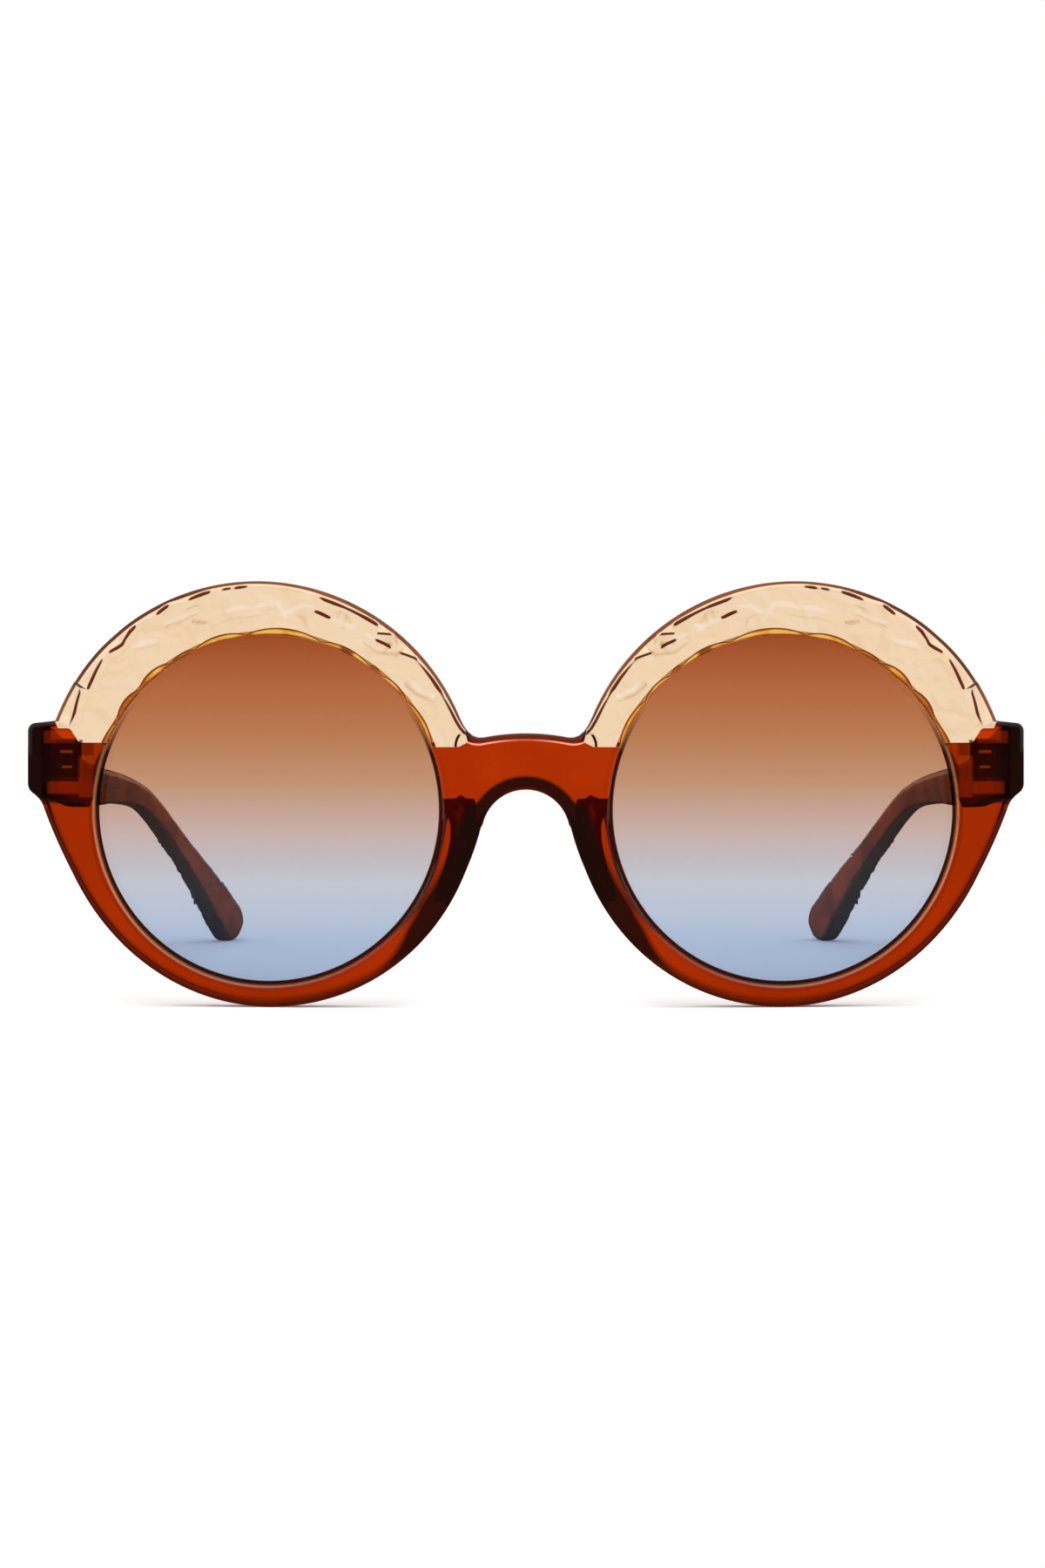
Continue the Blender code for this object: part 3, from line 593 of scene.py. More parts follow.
@dataclass(frozen=True)
class FrontPlan:
    """Sizes that the pieces of the front share, and the contour of its right half."""

    aperture: float = 25.5 * MM
    lens_x: float = 37.5 * MM
    lens_z: float = 28.6 * MM
    thickness: float = 4.4 * MM
    wrap_radius: float = 500 * MM
    brow_x: float = 39.2 * MM
    brow_z: float = 29.9 * MM
    brow_radius: float = 32.0 * MM
    bridge_top: float = 39.8 * MM
    bridge_sag: float = 0.6 * MM
    bridge_fillet: float = 2.8 * MM
    bridge_fillet_run: float = 3.4 * MM
    end_x: float = 73.0 * MM
    end_top: float = 41.6 * MM
    end_slope: float = 0.3 * MM
    end_bottom: float = 30.7 * MM
    end_corner: float = 1.2 * MM
    heel_corner: float = 1.7 * MM
    heel_degrees: float = 58
    rim_x: float = 37.2 * MM
    rim_outer: float = 32.85 * MM
    rim_inner: float = 31.9 * MM
    rim_drop: float = 36.0 * MM
    rim_swell: float = 0.065
    swell_top: float = 20 * MM
    rim_start_degrees: float = -11
    rim_stop_degrees: float = -164
    flare: float = 1.3 * MM
    flare_start: float = 19 * MM
    flare_run: float = 10.4 * MM
    flare_power: float = 1.5
    arch_radius: float = 6.4 * MM
    arch_z: float = 25.2 * MM
    arch_start_degrees: float = 12
    bridge_steps: int = 8
    brow_steps: int = 110
    rim_steps: int = 84
    arch_steps: int = 14

    @property
    def brow_foot(self) -> float:
        """Angle in degrees where the brow's contour meets the bridge, above its horizontal."""
        return self.brow_angle(self.bridge_top - self.bridge_sag + self.bridge_fillet)

    @property
    def bridge_run(self) -> float:
        """X where the bridge's top starts to turn up into the brow."""
        foot = self.brow_radius * math.cos(math.radians(self.brow_foot))
        return self.brow_x - foot - self.bridge_fillet_run

    def wrap_shift(self, x: float) -> float:
        """How far the wrapped front lies behind its middle, at a distance from the middle plane."""
        return x * x / (2 * self.wrap_radius)

    def wrap(self, obj: bpy.types.Object, strip: float = 4 * MM) -> None:
        """Curves a piece of the flat front back towards the temples.

        Args:
            obj: The piece.
            strip: Width of the strips between its new upright edge loops; 0 adds none.
        """
        if strip:
            slice_up(obj, Vector((1, 0, 0)), strip)
        for vertex in obj.data.vertices:
            vertex.co.y += self.wrap_shift(vertex.co.x)

    def brow_angle(self, z: float) -> float:
        """Angle in degrees of the brow's round contour at a height, on its outer side."""
        return math.degrees(math.asin((z - self.brow_z) / self.brow_radius))

    def rim_point(self, degrees: float) -> Point:
        """A point of the lower rim's contour.

        Args:
            degrees: The angle, from 0 at its outer side to -180 at the nose.

        Returns:
            The point.
        """
        angle = math.radians(degrees)
        z = self.rim_drop * (1 + math.sin(angle))
        if degrees > -90:
            share = max(0.0, z - self.flare_start) / self.flare_run
            flare = self.flare * share**self.flare_power
            return (self.rim_x + self.rim_outer * math.cos(angle) + flare, z)
        swell = self.rim_swell * max(0.0, self.swell_top - z)
        return (self.rim_x + (self.rim_inner + swell) * math.cos(angle), z)

    def contour(self) -> list[Point]:
        """The right half's contour, from the middle of the bridge's top to the nose arch's top.

        Returns:
            The points in order.
        """
        centre, stop = (self.brow_x, self.brow_z), self.brow_angle(self.end_top)
        brow = arc(centre, self.brow_radius, 180 - self.brow_foot, stop, self.brow_steps)
        shares = [i / self.bridge_steps for i in range(self.bridge_steps + 1)]
        bow = [self.bridge_top - self.bridge_sag * share**2 for share in shares]
        bridge = [(share * self.bridge_run, z) for share, z in zip(shares, bow)]
        corner_x = self.end_x - self.end_corner
        high = self.end_top - self.end_slope - self.end_corner
        heel = (self.end_x - self.heel_corner, self.end_bottom + self.heel_corner)
        upper = arc((corner_x, high), self.end_corner, 90, 0, 8)
        lower = arc(heel, self.heel_corner, 0, -self.heel_degrees, 7)
        first, steps = self.rim_start_degrees, self.rim_steps
        span = self.rim_stop_degrees - first
        rim = [self.rim_point(first + span * i / steps) for i in range(steps + 1)]
        start, steps = self.arch_start_degrees, self.arch_steps
        arch = arc((0, self.arch_z), self.arch_radius, start, 90, steps)
        return (
            bridge
            + eased(bridge[-2:], brow[:2], 5)
            + brow
            + between(brow[-1], upper[0], 4)
            + upper
            + between(upper[-1], lower[0], 8)
            + lower
            + eased(lower[-2:], rim[:2], 6)
            + rim
            + arch
        )

    def reach(self, way: Vector) -> float:
        """Distance from the lens's axis to the contour.

        Args:
            way: The direction in which it is measured.

        Returns:
            The distance.
        """
        points = self.contour()
        centre = Vector((self.lens_x, self.lens_z))
        across = Vector((-way.y, way.x))
        for start, stop in zip(points, points[1:]):
            a, b = Vector(start) - centre, Vector(stop) - centre
            low, high = a.dot(across), b.dot(across)
            if low * high <= 0 and low != high:
                place = a + (b - a) * (low / (low - high))
                if place.dot(way) > 0:
                    return place.dot(way)
        raise ValueError("the contour isn't met")


PLAN = FrontPlan()


# Finishes


@dataclass(frozen=True)
class Acetate:
    """Polished acetate sheet, coloured right through, with faint streaks from its casting."""

    name: str
    slot: str
    tint: Colour
    streak_tint: Colour
    shade_tint: Colour
    absorb_colour: Colour
    absorb_density: float
    roughness: float = 0.03
    roughness_least: float = 0.3
    ior: float = 1.49
    ripple: float = 0.1
    ripple_depth: float = 0.1 * MM
    ripple_scale: float = 260.0
    clearness: float = 1.0
    coat_ior: float = 2.0
    streak_scale: float = 90.0
    streaked: Fade = (0.35, 0.7)
    wear_scale: float = 900.0

    def colour(self, nodes: Nodes) -> Sock:
        """The sheet's colour with its streaks."""
        streaks = nodes.noise(self.streak_scale, detail=4.0, warp=1.2)
        return nodes.mix(steep(streaks, *self.streaked), self.tint, self.streak_tint)

    def polish(self, nodes: Nodes) -> Sock | float:
        """How strongly a second, brighter coat shows, with any painted highlight."""
        return 0.0

    def sheen(self, nodes: Nodes) -> Sock | Colour:
        """What stray light adds where the sheet is darkest."""
        return (0.0, 0.0, 0.0)

    def rough(self, nodes: Nodes) -> Sock:
        """The roughness, which wear varies a little."""
        wear = nodes.noise(self.wear_scale, detail=2.0) + self.roughness_least
        return wear * self.roughness

    def make(self) -> bpy.types.Material:
        """Builds the material.

        Returns:
            The material.
        """
        material, nodes = new_material(self.name)
        relief = nodes.noise(self.ripple_scale, detail=1.5, warp=0.6)
        values = {
            "Base Color": self.colour(nodes),
            "Roughness": self.rough(nodes),
            "IOR": self.ior,
            "Transmission Weight": self.clearness,
            "Coat Weight": self.polish(nodes),
            "Coat IOR": self.coat_ior,
            "Emission Color": self.sheen(nodes),
            "Emission Strength": 1.0,
            "Normal": nodes.bump(self.ripple, self.ripple_depth, relief),
        }
        surface = nodes.shaded(nodes.add("BsdfPrincipled", values), self.shade_tint)
        depth = {"Color": self.absorb_colour, "Density": self.absorb_density}
        volume = nodes.add("VolumeAbsorption", depth)
        nodes.add("OutputMaterial", {"Surface": surface, "Volume": volume})
        return material


@dataclass(frozen=True)
class FrontAcetate(Acetate):
    """Front acetate: painted shade along its rounded edges, a painted highlight at its lips."""

    # Painted shade in the bands along the edges and over the hinge
    edge_tint: Colour = (0.006, 0.002, 0.001)
    line_tint: Colour = (0.30, 0.05, 0.01)
    # Painted highlight at the lips of the lens openings
    lip_tint: Colour = (1.0, 0.85, 0.5)
    # Painted shade that dims the sheet away from the top of the bridge
    dim_tint: Colour = (0.62, 0.19, 0.004)
    # Painted light seen through the endpiece beside its hinge
    window_tint: Colour = (1.0, 0.40, 0.02)
    sheen_tint: Colour = (0.010, 0.0025, 0.0015)
    window_glow: Colour = (0.065, 0.006, 0.0)
    gap_glow: Colour = (0.21, 0.022, 0.0)
    lip_glow: Colour = (0.15, 0.09, 0.035)
    line_glow: Colour = (0.65, 0.52, 0.42)
    shown: float = 0.97
    soft: float = 0.5 * MM
    outer_soft: float = 1.0 * MM
    box_soft: float = 0.25 * MM
    bridge_soft: float = 0.3 * MM
    outer_band: float = 0.8 * MM
    lump_scale: float = 110.0
    lumpiness: float = 0.3 * MM
    nose_band: float = 2.7 * MM
    arch_band: float = 1.95 * MM
    bridge_band: float = 0.8 * MM
    bridge_rise: float = 150.0
    end_band: float = 2.2 * MM
    heel_above: float = -0.85 * MM
    heel_half: float = 0.3 * MM
    # How strongly a part shows; where there are two, the least and what is added
    dim_share: float = 0.9
    arch_lit_share: float = 0.6
    bar_share: float = 0.6
    hinge_share: float = 0.5
    lip_dark_shares: Point = (0.1, 0.4)
    line_shares: Point = (0.2, 0.7)
    # Places where a mask is 0 and 1
    lip: Fade = (0.35 * MM, 0.2 * MM)
    lip_beside: Fade = (20 * MM, 40 * MM)
    lip_below: Fade = (39 * MM, 37 * MM)
    lip_dark_start: Fade = (0.2 * MM, 0.45 * MM)
    lip_dark_stop: Fade = (1.0 * MM, 0.7 * MM)
    lip_dark_beside: Fade = (50 * MM, 60 * MM)
    rim_below: Fade = (30 * MM, 28.5 * MM)
    nose_beside: Fade = (22 * MM, 15 * MM)
    nose_above: Fade = (4 * MM, 11 * MM)
    arch_above: Fade = (23 * MM, 25 * MM)
    arch_lit: Fade = (0.5 * MM, 0.25 * MM)
    arch_lit_beside: Fade = (3.5 * MM, 1.5 * MM)
    bridge_beside: Fade = (9.5 * MM, 8.5 * MM)
    heel_beside: Fade = (64.5 * MM, 66.5 * MM)
    bar_start: Fade = (62.8 * MM, 63.4 * MM)
    bar_stop: Fade = (65.2 * MM, 64.6 * MM)
    bar_above: Fade = (32 * MM, 34 * MM)
    bright_beside: Fade = (16 * MM, 12 * MM)
    bright_above: Fade = (27 * MM, 33 * MM)
    seam_turn: Fade = (0.5, 0.3)
    seam_above: Fade = (36 * MM, 37 * MM)
    line_start: Fade = (0.85 * MM, 0.93 * MM)
    line_stop: Fade = (1.15 * MM, 1.05 * MM)
    line_beside: Fade = (8.8 * MM, 8 * MM)
    line_bright: Fade = (1 * MM, 6 * MM)
    # Boxes as low x, high x, low z, high z in mm: beside the hinge, in it and the whole of it
    # The windows get painted light, the gaps a painted glow and the hinge zone painted shade
    windows: tuple[Sequence[float], ...] = (
        (65.9, 70.5, 38.3, 40.1), (65.3, 70.0, 30.9, 32.7), (63.2, 65.3, 30.4, 36.5)
    )
    window_shares: Sequence[float] = (0.3, 1.0, 0.6)
    gaps: tuple[Sequence[float], ...] = ((66.2, 68.0, 36.9, 37.25), (66.3, 67.8, 34.7, 35.0))
    hinge_zone: Sequence[float] = (65.8, 70.5, 32.8, 38.0)

    def near(self, away: Sock, band: Sock | float, soft: float | None = None) -> Sock:
        """1 up to a distance and 0 beyond it, with a soft edge."""
        return ((band - away) * (1 / (soft or self.soft)) + 0.5).clamped()

    def box(self, nodes: Nodes, sizes: Sequence[float]) -> Sock:
        """1 inside a box on either side of the front.

        Args:
            nodes: The material's nodes.
            sizes: Low x, high x, low z and high z in millimetres.

        Returns:
            The mask.
        """
        x, _, z = nodes.spot
        low_x, high_x, low_z, high_z = (size * MM for size in sizes)
        beside, above = abs(abs(x) - (low_x + high_x) / 2), abs(z - (low_z + high_z) / 2)
        wide = self.near(beside, (high_x - low_x) / 2, self.box_soft)
        return wide * self.near(above, (high_z - low_z) / 2, self.box_soft)

    def below_bridge(self, nodes: Nodes) -> Sock:
        """Distance below the bridge's bowed top.

        Args:
            nodes: The material's nodes.

        Returns:
            The distance.
        """
        x, _, z = nodes.spot
        fillet = (abs(x) - PLAN.bridge_run).clamped()
        bow = x * x * (PLAN.bridge_sag / PLAN.bridge_run**2)
        return fillet * fillet * self.bridge_rise + PLAN.bridge_top - z - bow

    def rim_edge(self, nodes: Nodes) -> Sock:
        """The painted shade band along the lower rim's contour, widest beside the nose.

        Args:
            nodes: The material's nodes.

        Returns:
            The mask.
        """
        plan = PLAN
        x, _, z = nodes.spot
        across = abs(x)
        outer = steep(across, plan.rim_x - MM, plan.rim_x + MM)
        flare = steep(z, plan.flare_start, plan.flare_start + plan.flare_run)
        flare = flare**plan.flare_power * plan.flare
        swell = steep(z, plan.swell_top, 0) * (plan.rim_swell * plan.swell_top) + plan.rim_inner
        span = outer * (flare + plan.rim_outer) + (1 - outer) * swell
        u, v = (across - plan.rim_x) / span, (z - plan.rim_drop) / plan.rim_drop
        away = (1 - (u * u + v * v) ** 0.5) * plan.rim_drop
        wider = steep(across, *self.nose_beside) * steep(z, *self.nose_above) * self.nose_band
        band = wider + self.outer_band + nodes.noise(self.lump_scale) * self.lumpiness
        return self.near(away, band, self.outer_soft) * steep(z, *self.rim_below)

    def arch_edge(self, nodes: Nodes) -> Sock:
        """The painted shade band round the nose arch, lit along its edge at the top.

        Args:
            nodes: The material's nodes.

        Returns:
            The mask.
        """
        x, _, z = nodes.spot
        up = z - PLAN.arch_z
        away = (x * x + up * up) ** 0.5 - PLAN.arch_radius
        lit = steep(away, *self.arch_lit) * steep(abs(x), *self.arch_lit_beside)
        unlit = 1 - lit * self.arch_lit_share
        return self.near(away, self.arch_band) * steep(z, *self.arch_above) * unlit

    def end_edge(self, nodes: Nodes) -> Sock:
        """Painted shade on an endpiece: at its end, its heel, a bar and its hinge.

        Args:
            nodes: The material's nodes.

        Returns:
            The mask.
        """
        x, _, z = nodes.spot
        across = abs(x)
        end = self.near(PLAN.end_x - across, self.end_band)
        heel = self.near(abs(z - (PLAN.end_bottom + self.heel_above)), self.heel_half)
        heel = heel * steep(across, *self.heel_beside)
        bar = steep(across, *self.bar_start) * steep(across, *self.bar_stop)
        bar = bar * steep(z, *self.bar_above) * self.bar_share
        return end + heel + bar + self.box(nodes, self.hinge_zone) * self.hinge_share

    def edges(self, nodes: Nodes) -> Sock:
        """Where shade is painted on the sheet: within bands that follow its contour.

        Args:
            nodes: The material's nodes.

        Returns:
            The mask.
        """
        across = abs(nodes.spot[0])
        bridge = self.near(self.below_bridge(nodes), self.bridge_band, self.bridge_soft)
        bridge = bridge * steep(across, *self.bridge_beside)
        away = from_lens(nodes) - PLAN.aperture
        lip = steep(away, *self.lip_dark_start) * steep(away, *self.lip_dark_stop)
        least, more = self.lip_dark_shares
        lip = lip * (steep(across, *self.lip_dark_beside) * more + least)
        rest = self.rim_edge(nodes) + self.arch_edge(nodes) + self.end_edge(nodes)
        return (rest + bridge + lip).clamped()

    def colour(self, nodes: Nodes) -> Sock:
        """Sheet colour with painted shade in its bands, painted light and a painted highlight.

        Args:
            nodes: The material's nodes.

        Returns:
            The colour.
        """
        x, _, z = nodes.spot
        # Painted shade dims the sheet except at the top of the bridge
        bright = steep(abs(x), *self.bright_beside) * steep(z, *self.bright_above)
        body = nodes.mix((1 - bright) * self.dim_share, super().colour(nodes), self.dim_tint)
        # Painted light shows through the endpiece beside its hinge
        for sizes, share in zip(self.windows, self.window_shares):
            body = nodes.mix(self.box(nodes, sizes) * share, body, self.window_tint)
        # Painted shade in the bands that follow the contour
        edged = nodes.mix(self.edges(nodes) * self.shown, body, self.edge_tint)
        seam = steep(nodes.facing[1], *self.seam_turn) * steep(z, *self.seam_above)
        edged = nodes.mix(seam, edged, self.line_tint)
        # A painted highlight at the lips
        return nodes.mix(self.polish(nodes), edged, self.lip_tint)

    def polish(self, nodes: Nodes) -> Sock:
        """The lens openings' lips: more coat and a painted highlight, least beside the nose.

        Args:
            nodes: The material's nodes.

        Returns:
            The mask.
        """
        x, _, z = nodes.spot
        lip = steep(from_lens(nodes) - PLAN.aperture, *self.lip)
        return lip * steep(abs(x), *self.lip_beside) * steep(z, *self.lip_below)

    def sheen(self, nodes: Nodes) -> Sock:
        """Stray light over the dark bands, through the hinge and along the lips and the bridge.

        Args:
            nodes: The material's nodes.

        Returns:
            The light's colour.
        """
        light = nodes.mix(self.edges(nodes), super().sheen(nodes), self.sheen_tint)
        for boxes, glow in ((self.windows, self.window_glow), (self.gaps, self.gap_glow)):
            for sizes in boxes:
                light = nodes.mix(self.box(nodes, sizes), light, glow)
        down, across = self.below_bridge(nodes), abs(nodes.spot[0])
        line = steep(down, *self.line_start) * steep(down, *self.line_stop)
        line = line * steep(across, *self.line_beside)
        least, more = self.line_shares
        line = line * (steep(across, *self.line_bright) * more + least)
        light = nodes.mix(line, light, self.line_glow)
        return nodes.mix(self.polish(nodes), light, self.lip_glow)


@dataclass(frozen=True)
class BrowAcetate(Acetate):
    """Pale brow acetate: painted shade along its creases, painted amber glints round the lens."""

    # Painted shade of the creases and of the arc beside the nose
    crease_tint: Colour = (0.018, 0.0006, 0.00003)
    # Painted shade along the outer edge, from its palest to its darkest
    rim_pale: Colour = (0.10, 0.012, 0.0012)
    rim_dark: Colour = (0.014, 0.0008, 0.0001)
    # Painted highlight of the gleams
    gleam_tint: Colour = (1.0, 0.95, 0.90)
    # Painted shade of the hollows
    hollow_tint: Colour = (0.84, 0.60, 0.40)
    # Painted shade of the grooves
    groove_tint: Colour = (0.62, 0.34, 0.16)
    seam_tint: Colour = (0.45, 0.13, 0.02)
    shade_line: Colour = (0.06, 0.004, 0.0004)
    emboss_scale: float = 190.0
    emboss_shift: tuple[float, float, float] = (0.35 * MM, 0.0, 0.55 * MM)
    # Middle as x and z and radius of the painted shade arc beside the nose
    arc_x: float = 6.9 * MM
    arc_z: float = 37.7 * MM
    arc_radius: float = 3.3 * MM
    # Places where a mask is 0 and 1
    arc_line: Fade = (0.24 * MM, 0.14 * MM)
    arc_below: Fade = (39.8 * MM, 39.5 * MM)
    arc_start: Fade = (2.0 * MM, 2.2 * MM)
    arc_stop: Fade = (11.0 * MM, 10.8 * MM)
    seam_turn: Fade = (0.5, 0.3)
    hollow: Fade = (-0.02, -0.09)
    hollow_patch: Fade = (0.4, 0.55)
    gleam: Fade = (0.055, 0.10)
    gleam_patch: Fade = (0.6, 0.45)
    groove_stroke: Fade = (0.25, 1.0)
    gleam_stroke: Fade = (0.25, 0.8)
    rim_darkest: Fade = (0.65, 1.0)
    rim_shown: Fade = (0.05, 0.5)
    crease_shown: Fade = (0.2, 0.6)
    lip_shown: Fade = (0.1, 0.3)
    crest_start: Fade = (0.55, 0.67)
    crest_stop: Fade = (0.96, 0.80)
    line_start: Fade = (0.12, 0.25)
    line_stop: Fade = (0.66, 0.52)
    patch_scale: float = 130.0
    patch_share: float = 0.4
    sparkle_scale: float = 520.0
    sparkle: float = 0.9
    crest_shares: Point = (0.25, 0.75)
    # Colours of the inner edge's painted glints, from its dullest to its brightest
    glints: tuple[tuple[float, Colour], ...] = (
        (0.10, (0.025, 0.0015, 0.0001)),
        (0.35, (0.20, 0.014, 0.0003)),
        (0.55, (0.55, 0.075, 0.001)),
        (0.75, (0.92, 0.27, 0.006)),
        (1.00, (1.00, 0.60, 0.06)),
    )

    def colour(self, nodes: Nodes) -> Sock:
        """The sheet's colour with painted gleams, painted crease shade and painted glints."""
        return self.edged(nodes, self.worked(nodes, super().colour(nodes)))

    def worked(self, nodes: Nodes, base: Sock) -> Sock:
        """Adds painted shade of hollows, grooves and an arc, painted gleams and the outer seam.

        Args:
            nodes: The material's nodes.
            base: The colour so far.

        Returns:
            The colour with them.
        """
        # Painted shade in the hollows and painted gleams, from the emboss
        lit = self.emboss(nodes)
        patchy = nodes.noise(self.patch_scale)
        hollow = steep(lit, *self.hollow) * steep(patchy, *self.hollow_patch)
        base = nodes.mix(hollow * self.patch_share, base, self.hollow_tint)
        gleam = steep(lit, *self.gleam) * steep(patchy, *self.gleam_patch)
        base = nodes.mix(gleam * self.patch_share, base, self.gleam_tint)
        # Painted gleams and painted groove shade along the strokes
        strokes = nodes.add("Attribute", out="Color", attribute_name=STROKES)
        gleam, groove, _ = nodes.axes(strokes)
        base = nodes.mix(steep(groove, *self.groove_stroke), base, self.groove_tint)
        base = nodes.mix(steep(gleam, *self.gleam_stroke), base, self.gleam_tint)
        # A painted shade arc beside the nose
        x, _, z = nodes.spot
        across, up = abs(x) - self.arc_x, z - self.arc_z
        away = abs((across * across + up * up) ** 0.5 - self.arc_radius)
        mark = steep(away, *self.arc_line) * steep(z, *self.arc_below)
        mark = mark * steep(across, *self.arc_start) * steep(abs(x), *self.arc_stop)
        base = nodes.mix(mark, base, self.crease_tint)
        return nodes.mix(steep(nodes.facing[1], *self.seam_turn), base, self.seam_tint)

    def edged(self, nodes: Nodes, base: Sock) -> Sock:
        """Adds painted shade on the outer edge and creases, and painted glints on the inner edge.

        Args:
            nodes: The material's nodes.
            base: The colour so far.

        Returns:
            The colour with them.
        """
        marks = nodes.add("Attribute", out="Color", attribute_name=MARKS)
        glow = marks.beside("Alpha")
        crease, rim, lip = nodes.axes(marks)
        # Painted shade along the outer edge and the creases
        brown = nodes.mix(steep(rim, *self.rim_darkest), self.rim_pale, self.rim_dark)
        base = nodes.mix(steep(rim, *self.rim_shown), base, brown)
        base = nodes.mix(steep(crease, *self.crease_shown), base, self.crease_tint)
        # Painted glints along the inner edge
        crest = steep(lip, *self.crest_start) * steep(lip, *self.crest_stop)
        sparkle = nodes.noise(self.sparkle_scale, detail=2.0, warp=0.5) - 0.5
        least, more = self.crest_shares
        shine = glow * (crest * more + least + crest * sparkle * self.sparkle)
        amber = nodes.add("ValToRGB", {0: shine}, stops=self.glints)
        base = nodes.mix(steep(lip, *self.lip_shown), base, amber)
        # A painted shade line beside the glints
        line = steep(lip, *self.line_start) * steep(lip, *self.line_stop)
        return nodes.mix(line * (1 - glow * 0.4), base, self.shade_line)

    def emboss(self, nodes: Nodes) -> Sock:
        """Light and shade of soft hollows, as the difference of shifted noises.

        Args:
            nodes: The material's nodes.

        Returns:
            A value about 0.
        """
        ends = {0: nodes.place, 1: self.emboss_shift}
        shifted = nodes.add("VectorMath", ends, operation="ADD")
        first, second = (
            nodes.noise(self.emboss_scale, detail=1.0, warp=1.3, place=place)
            for place in (nodes.place, shifted)
        )
        return second - first


@dataclass(frozen=True)
class TempleAcetate(Acetate):
    """Dense mottled acetate of the temples, with painted shade on their narrow edges."""

    mottle_tint: Colour = (0.05, 0.018, 0.012)
    # Painted shade of the narrow edges
    narrow_tint: Colour = (0.030, 0.008, 0.004)
    narrow_turn: Fade = (0.92, 0.6)
    narrow_rough: float = 0.35
    mottle_scale: float = 120.0
    mottled: Fade = (0.45, 0.7)
    mottle_share: float = 0.7

    def narrow(self, nodes: Nodes) -> Sock:
        """Where a temple's narrow edges are."""
        return steep(nodes.facing[0], *self.narrow_turn)

    def colour(self, nodes: Nodes) -> Sock:
        """The sheet's colour with its mottling and painted shade on its narrow edges.

        Args:
            nodes: The material's nodes.

        Returns:
            The colour.
        """
        base = super().colour(nodes)
        clouds = nodes.noise(self.mottle_scale, detail=4.0, warp=0.8)
        clouds = steep(clouds, *self.mottled) * self.mottle_share
        base = nodes.mix(clouds, base, self.mottle_tint)
        # Painted shade on the narrow edges
        return nodes.mix(self.narrow(nodes), base, self.narrow_tint)

    def rough(self, nodes: Nodes) -> Sock:
        """The roughness, higher on the narrow edges."""
        return super().rough(nodes) + self.narrow(nodes) * self.narrow_rough


def from_lens(nodes: Nodes) -> Sock:
    """Distance from the nearer lens's axis.

    Args:
        nodes: The material's nodes.

    Returns:
        The distance.
    """
    x, _, z = nodes.spot
    across, up = abs(x) - PLAN.lens_x, z - PLAN.lens_z
    return (across * across + up * up) ** 0.5


BROWN = Acetate(
    name="brown_acetate",
    slot="brown_acetate",
    tint=(0.60, 0.17, 0.03),
    streak_tint=(0.50, 0.12, 0.02),
    shade_tint=(0.44, 0.43, 0.42),
    absorb_colour=(0.90, 0.60, 0.20),
    absorb_density=500.0,
    clearness=0.6,
    roughness=0.2,
)
BROWN_FRONT = FrontAcetate(
    name="brown_front",
    slot="brown_acetate",
    tint=(0.80, 0.26, 0.010),
    streak_tint=(0.70, 0.20, 0.006),
    shade_tint=(0.44, 0.43, 0.42),
    absorb_colour=(0.90, 0.60, 0.03),
    absorb_density=1150.0,
)
BROWN_TEMPLE = TempleAcetate(
    name="brown_temple",
    slot="brown_acetate",
    tint=(0.50, 0.105, 0.042),
    streak_tint=(0.38, 0.078, 0.034),
    shade_tint=(0.50, 0.42, 0.38),
    absorb_colour=(0.80, 0.45, 0.25),
    absorb_density=900.0,
    clearness=0.5,
    roughness=0.2,
)
CHAMPAGNE = BrowAcetate(
    name="champagne_acetate",
    slot="champagne_acetate",
    tint=(0.95, 0.79, 0.60),
    streak_tint=(0.93, 0.75, 0.55),
    shade_tint=(0.97, 0.93, 0.85),
    absorb_colour=(0.9, 0.55, 0.1),
    absorb_density=60.0,
    ripple=0.35,
    ripple_scale=180.0,
)


@dataclass(frozen=True)
class LensTint:
    """Gradient-tinted lens: warm brown at the top, fading to a cool grey at the bottom."""

    name: str = "gradient_lens"
    slot: str = "gradient_lens"
    low: float = 2 * MM
    high: float = 56 * MM
    # A ring of painted shade round the lens's edge, fading out towards the top
    rim: Fade = (0.70 * MM, 0.60 * MM)
    rim_below: Fade = (44 * MM, 37 * MM)
    rim_tint: Colour = (0.03, 0.005, 0.002)
    shade_tint: Colour = (0.8, 0.68, 0.62)
    ior: float = 1.5
    wear_scale: float = 300.0
    roughness: float = 0.01
    stops: tuple[tuple[float, Colour], ...] = (
        (0.00, (0.33, 0.42, 0.59)),
        (0.14, (0.37, 0.46, 0.62)),
        (0.30, (0.54, 0.56, 0.63)),
        (0.43, (0.60, 0.455, 0.42)),
        (0.56, (0.56, 0.31, 0.19)),
        (0.70, (0.51, 0.20, 0.085)),
        (0.84, (0.46, 0.135, 0.048)),
        (1.00, (0.33, 0.06, 0.01)),
    )

    def make(self) -> bpy.types.Material:
        """Builds the material.

        Returns:
            The material.
        """
        material, nodes = new_material(self.name)
        height = nodes.spot[2]
        share = steep(height, self.low, self.high)
        tint = nodes.add("ValToRGB", {0: share}, stops=self.stops)
        # Painted shade in a ring round the lens's edge
        rim = steep(PLAN.aperture - from_lens(nodes), *self.rim)
        values = {
            "Base Color": nodes.mix(rim * steep(height, *self.rim_below), tint, self.rim_tint),
            "Roughness": nodes.noise(self.wear_scale) * self.roughness,
            "IOR": self.ior,
            "Transmission Weight": 1.0,
        }
        surface = nodes.shaded(nodes.add("BsdfPrincipled", values), self.shade_tint)
        nodes.add("OutputMaterial", {"Surface": surface})
        return material


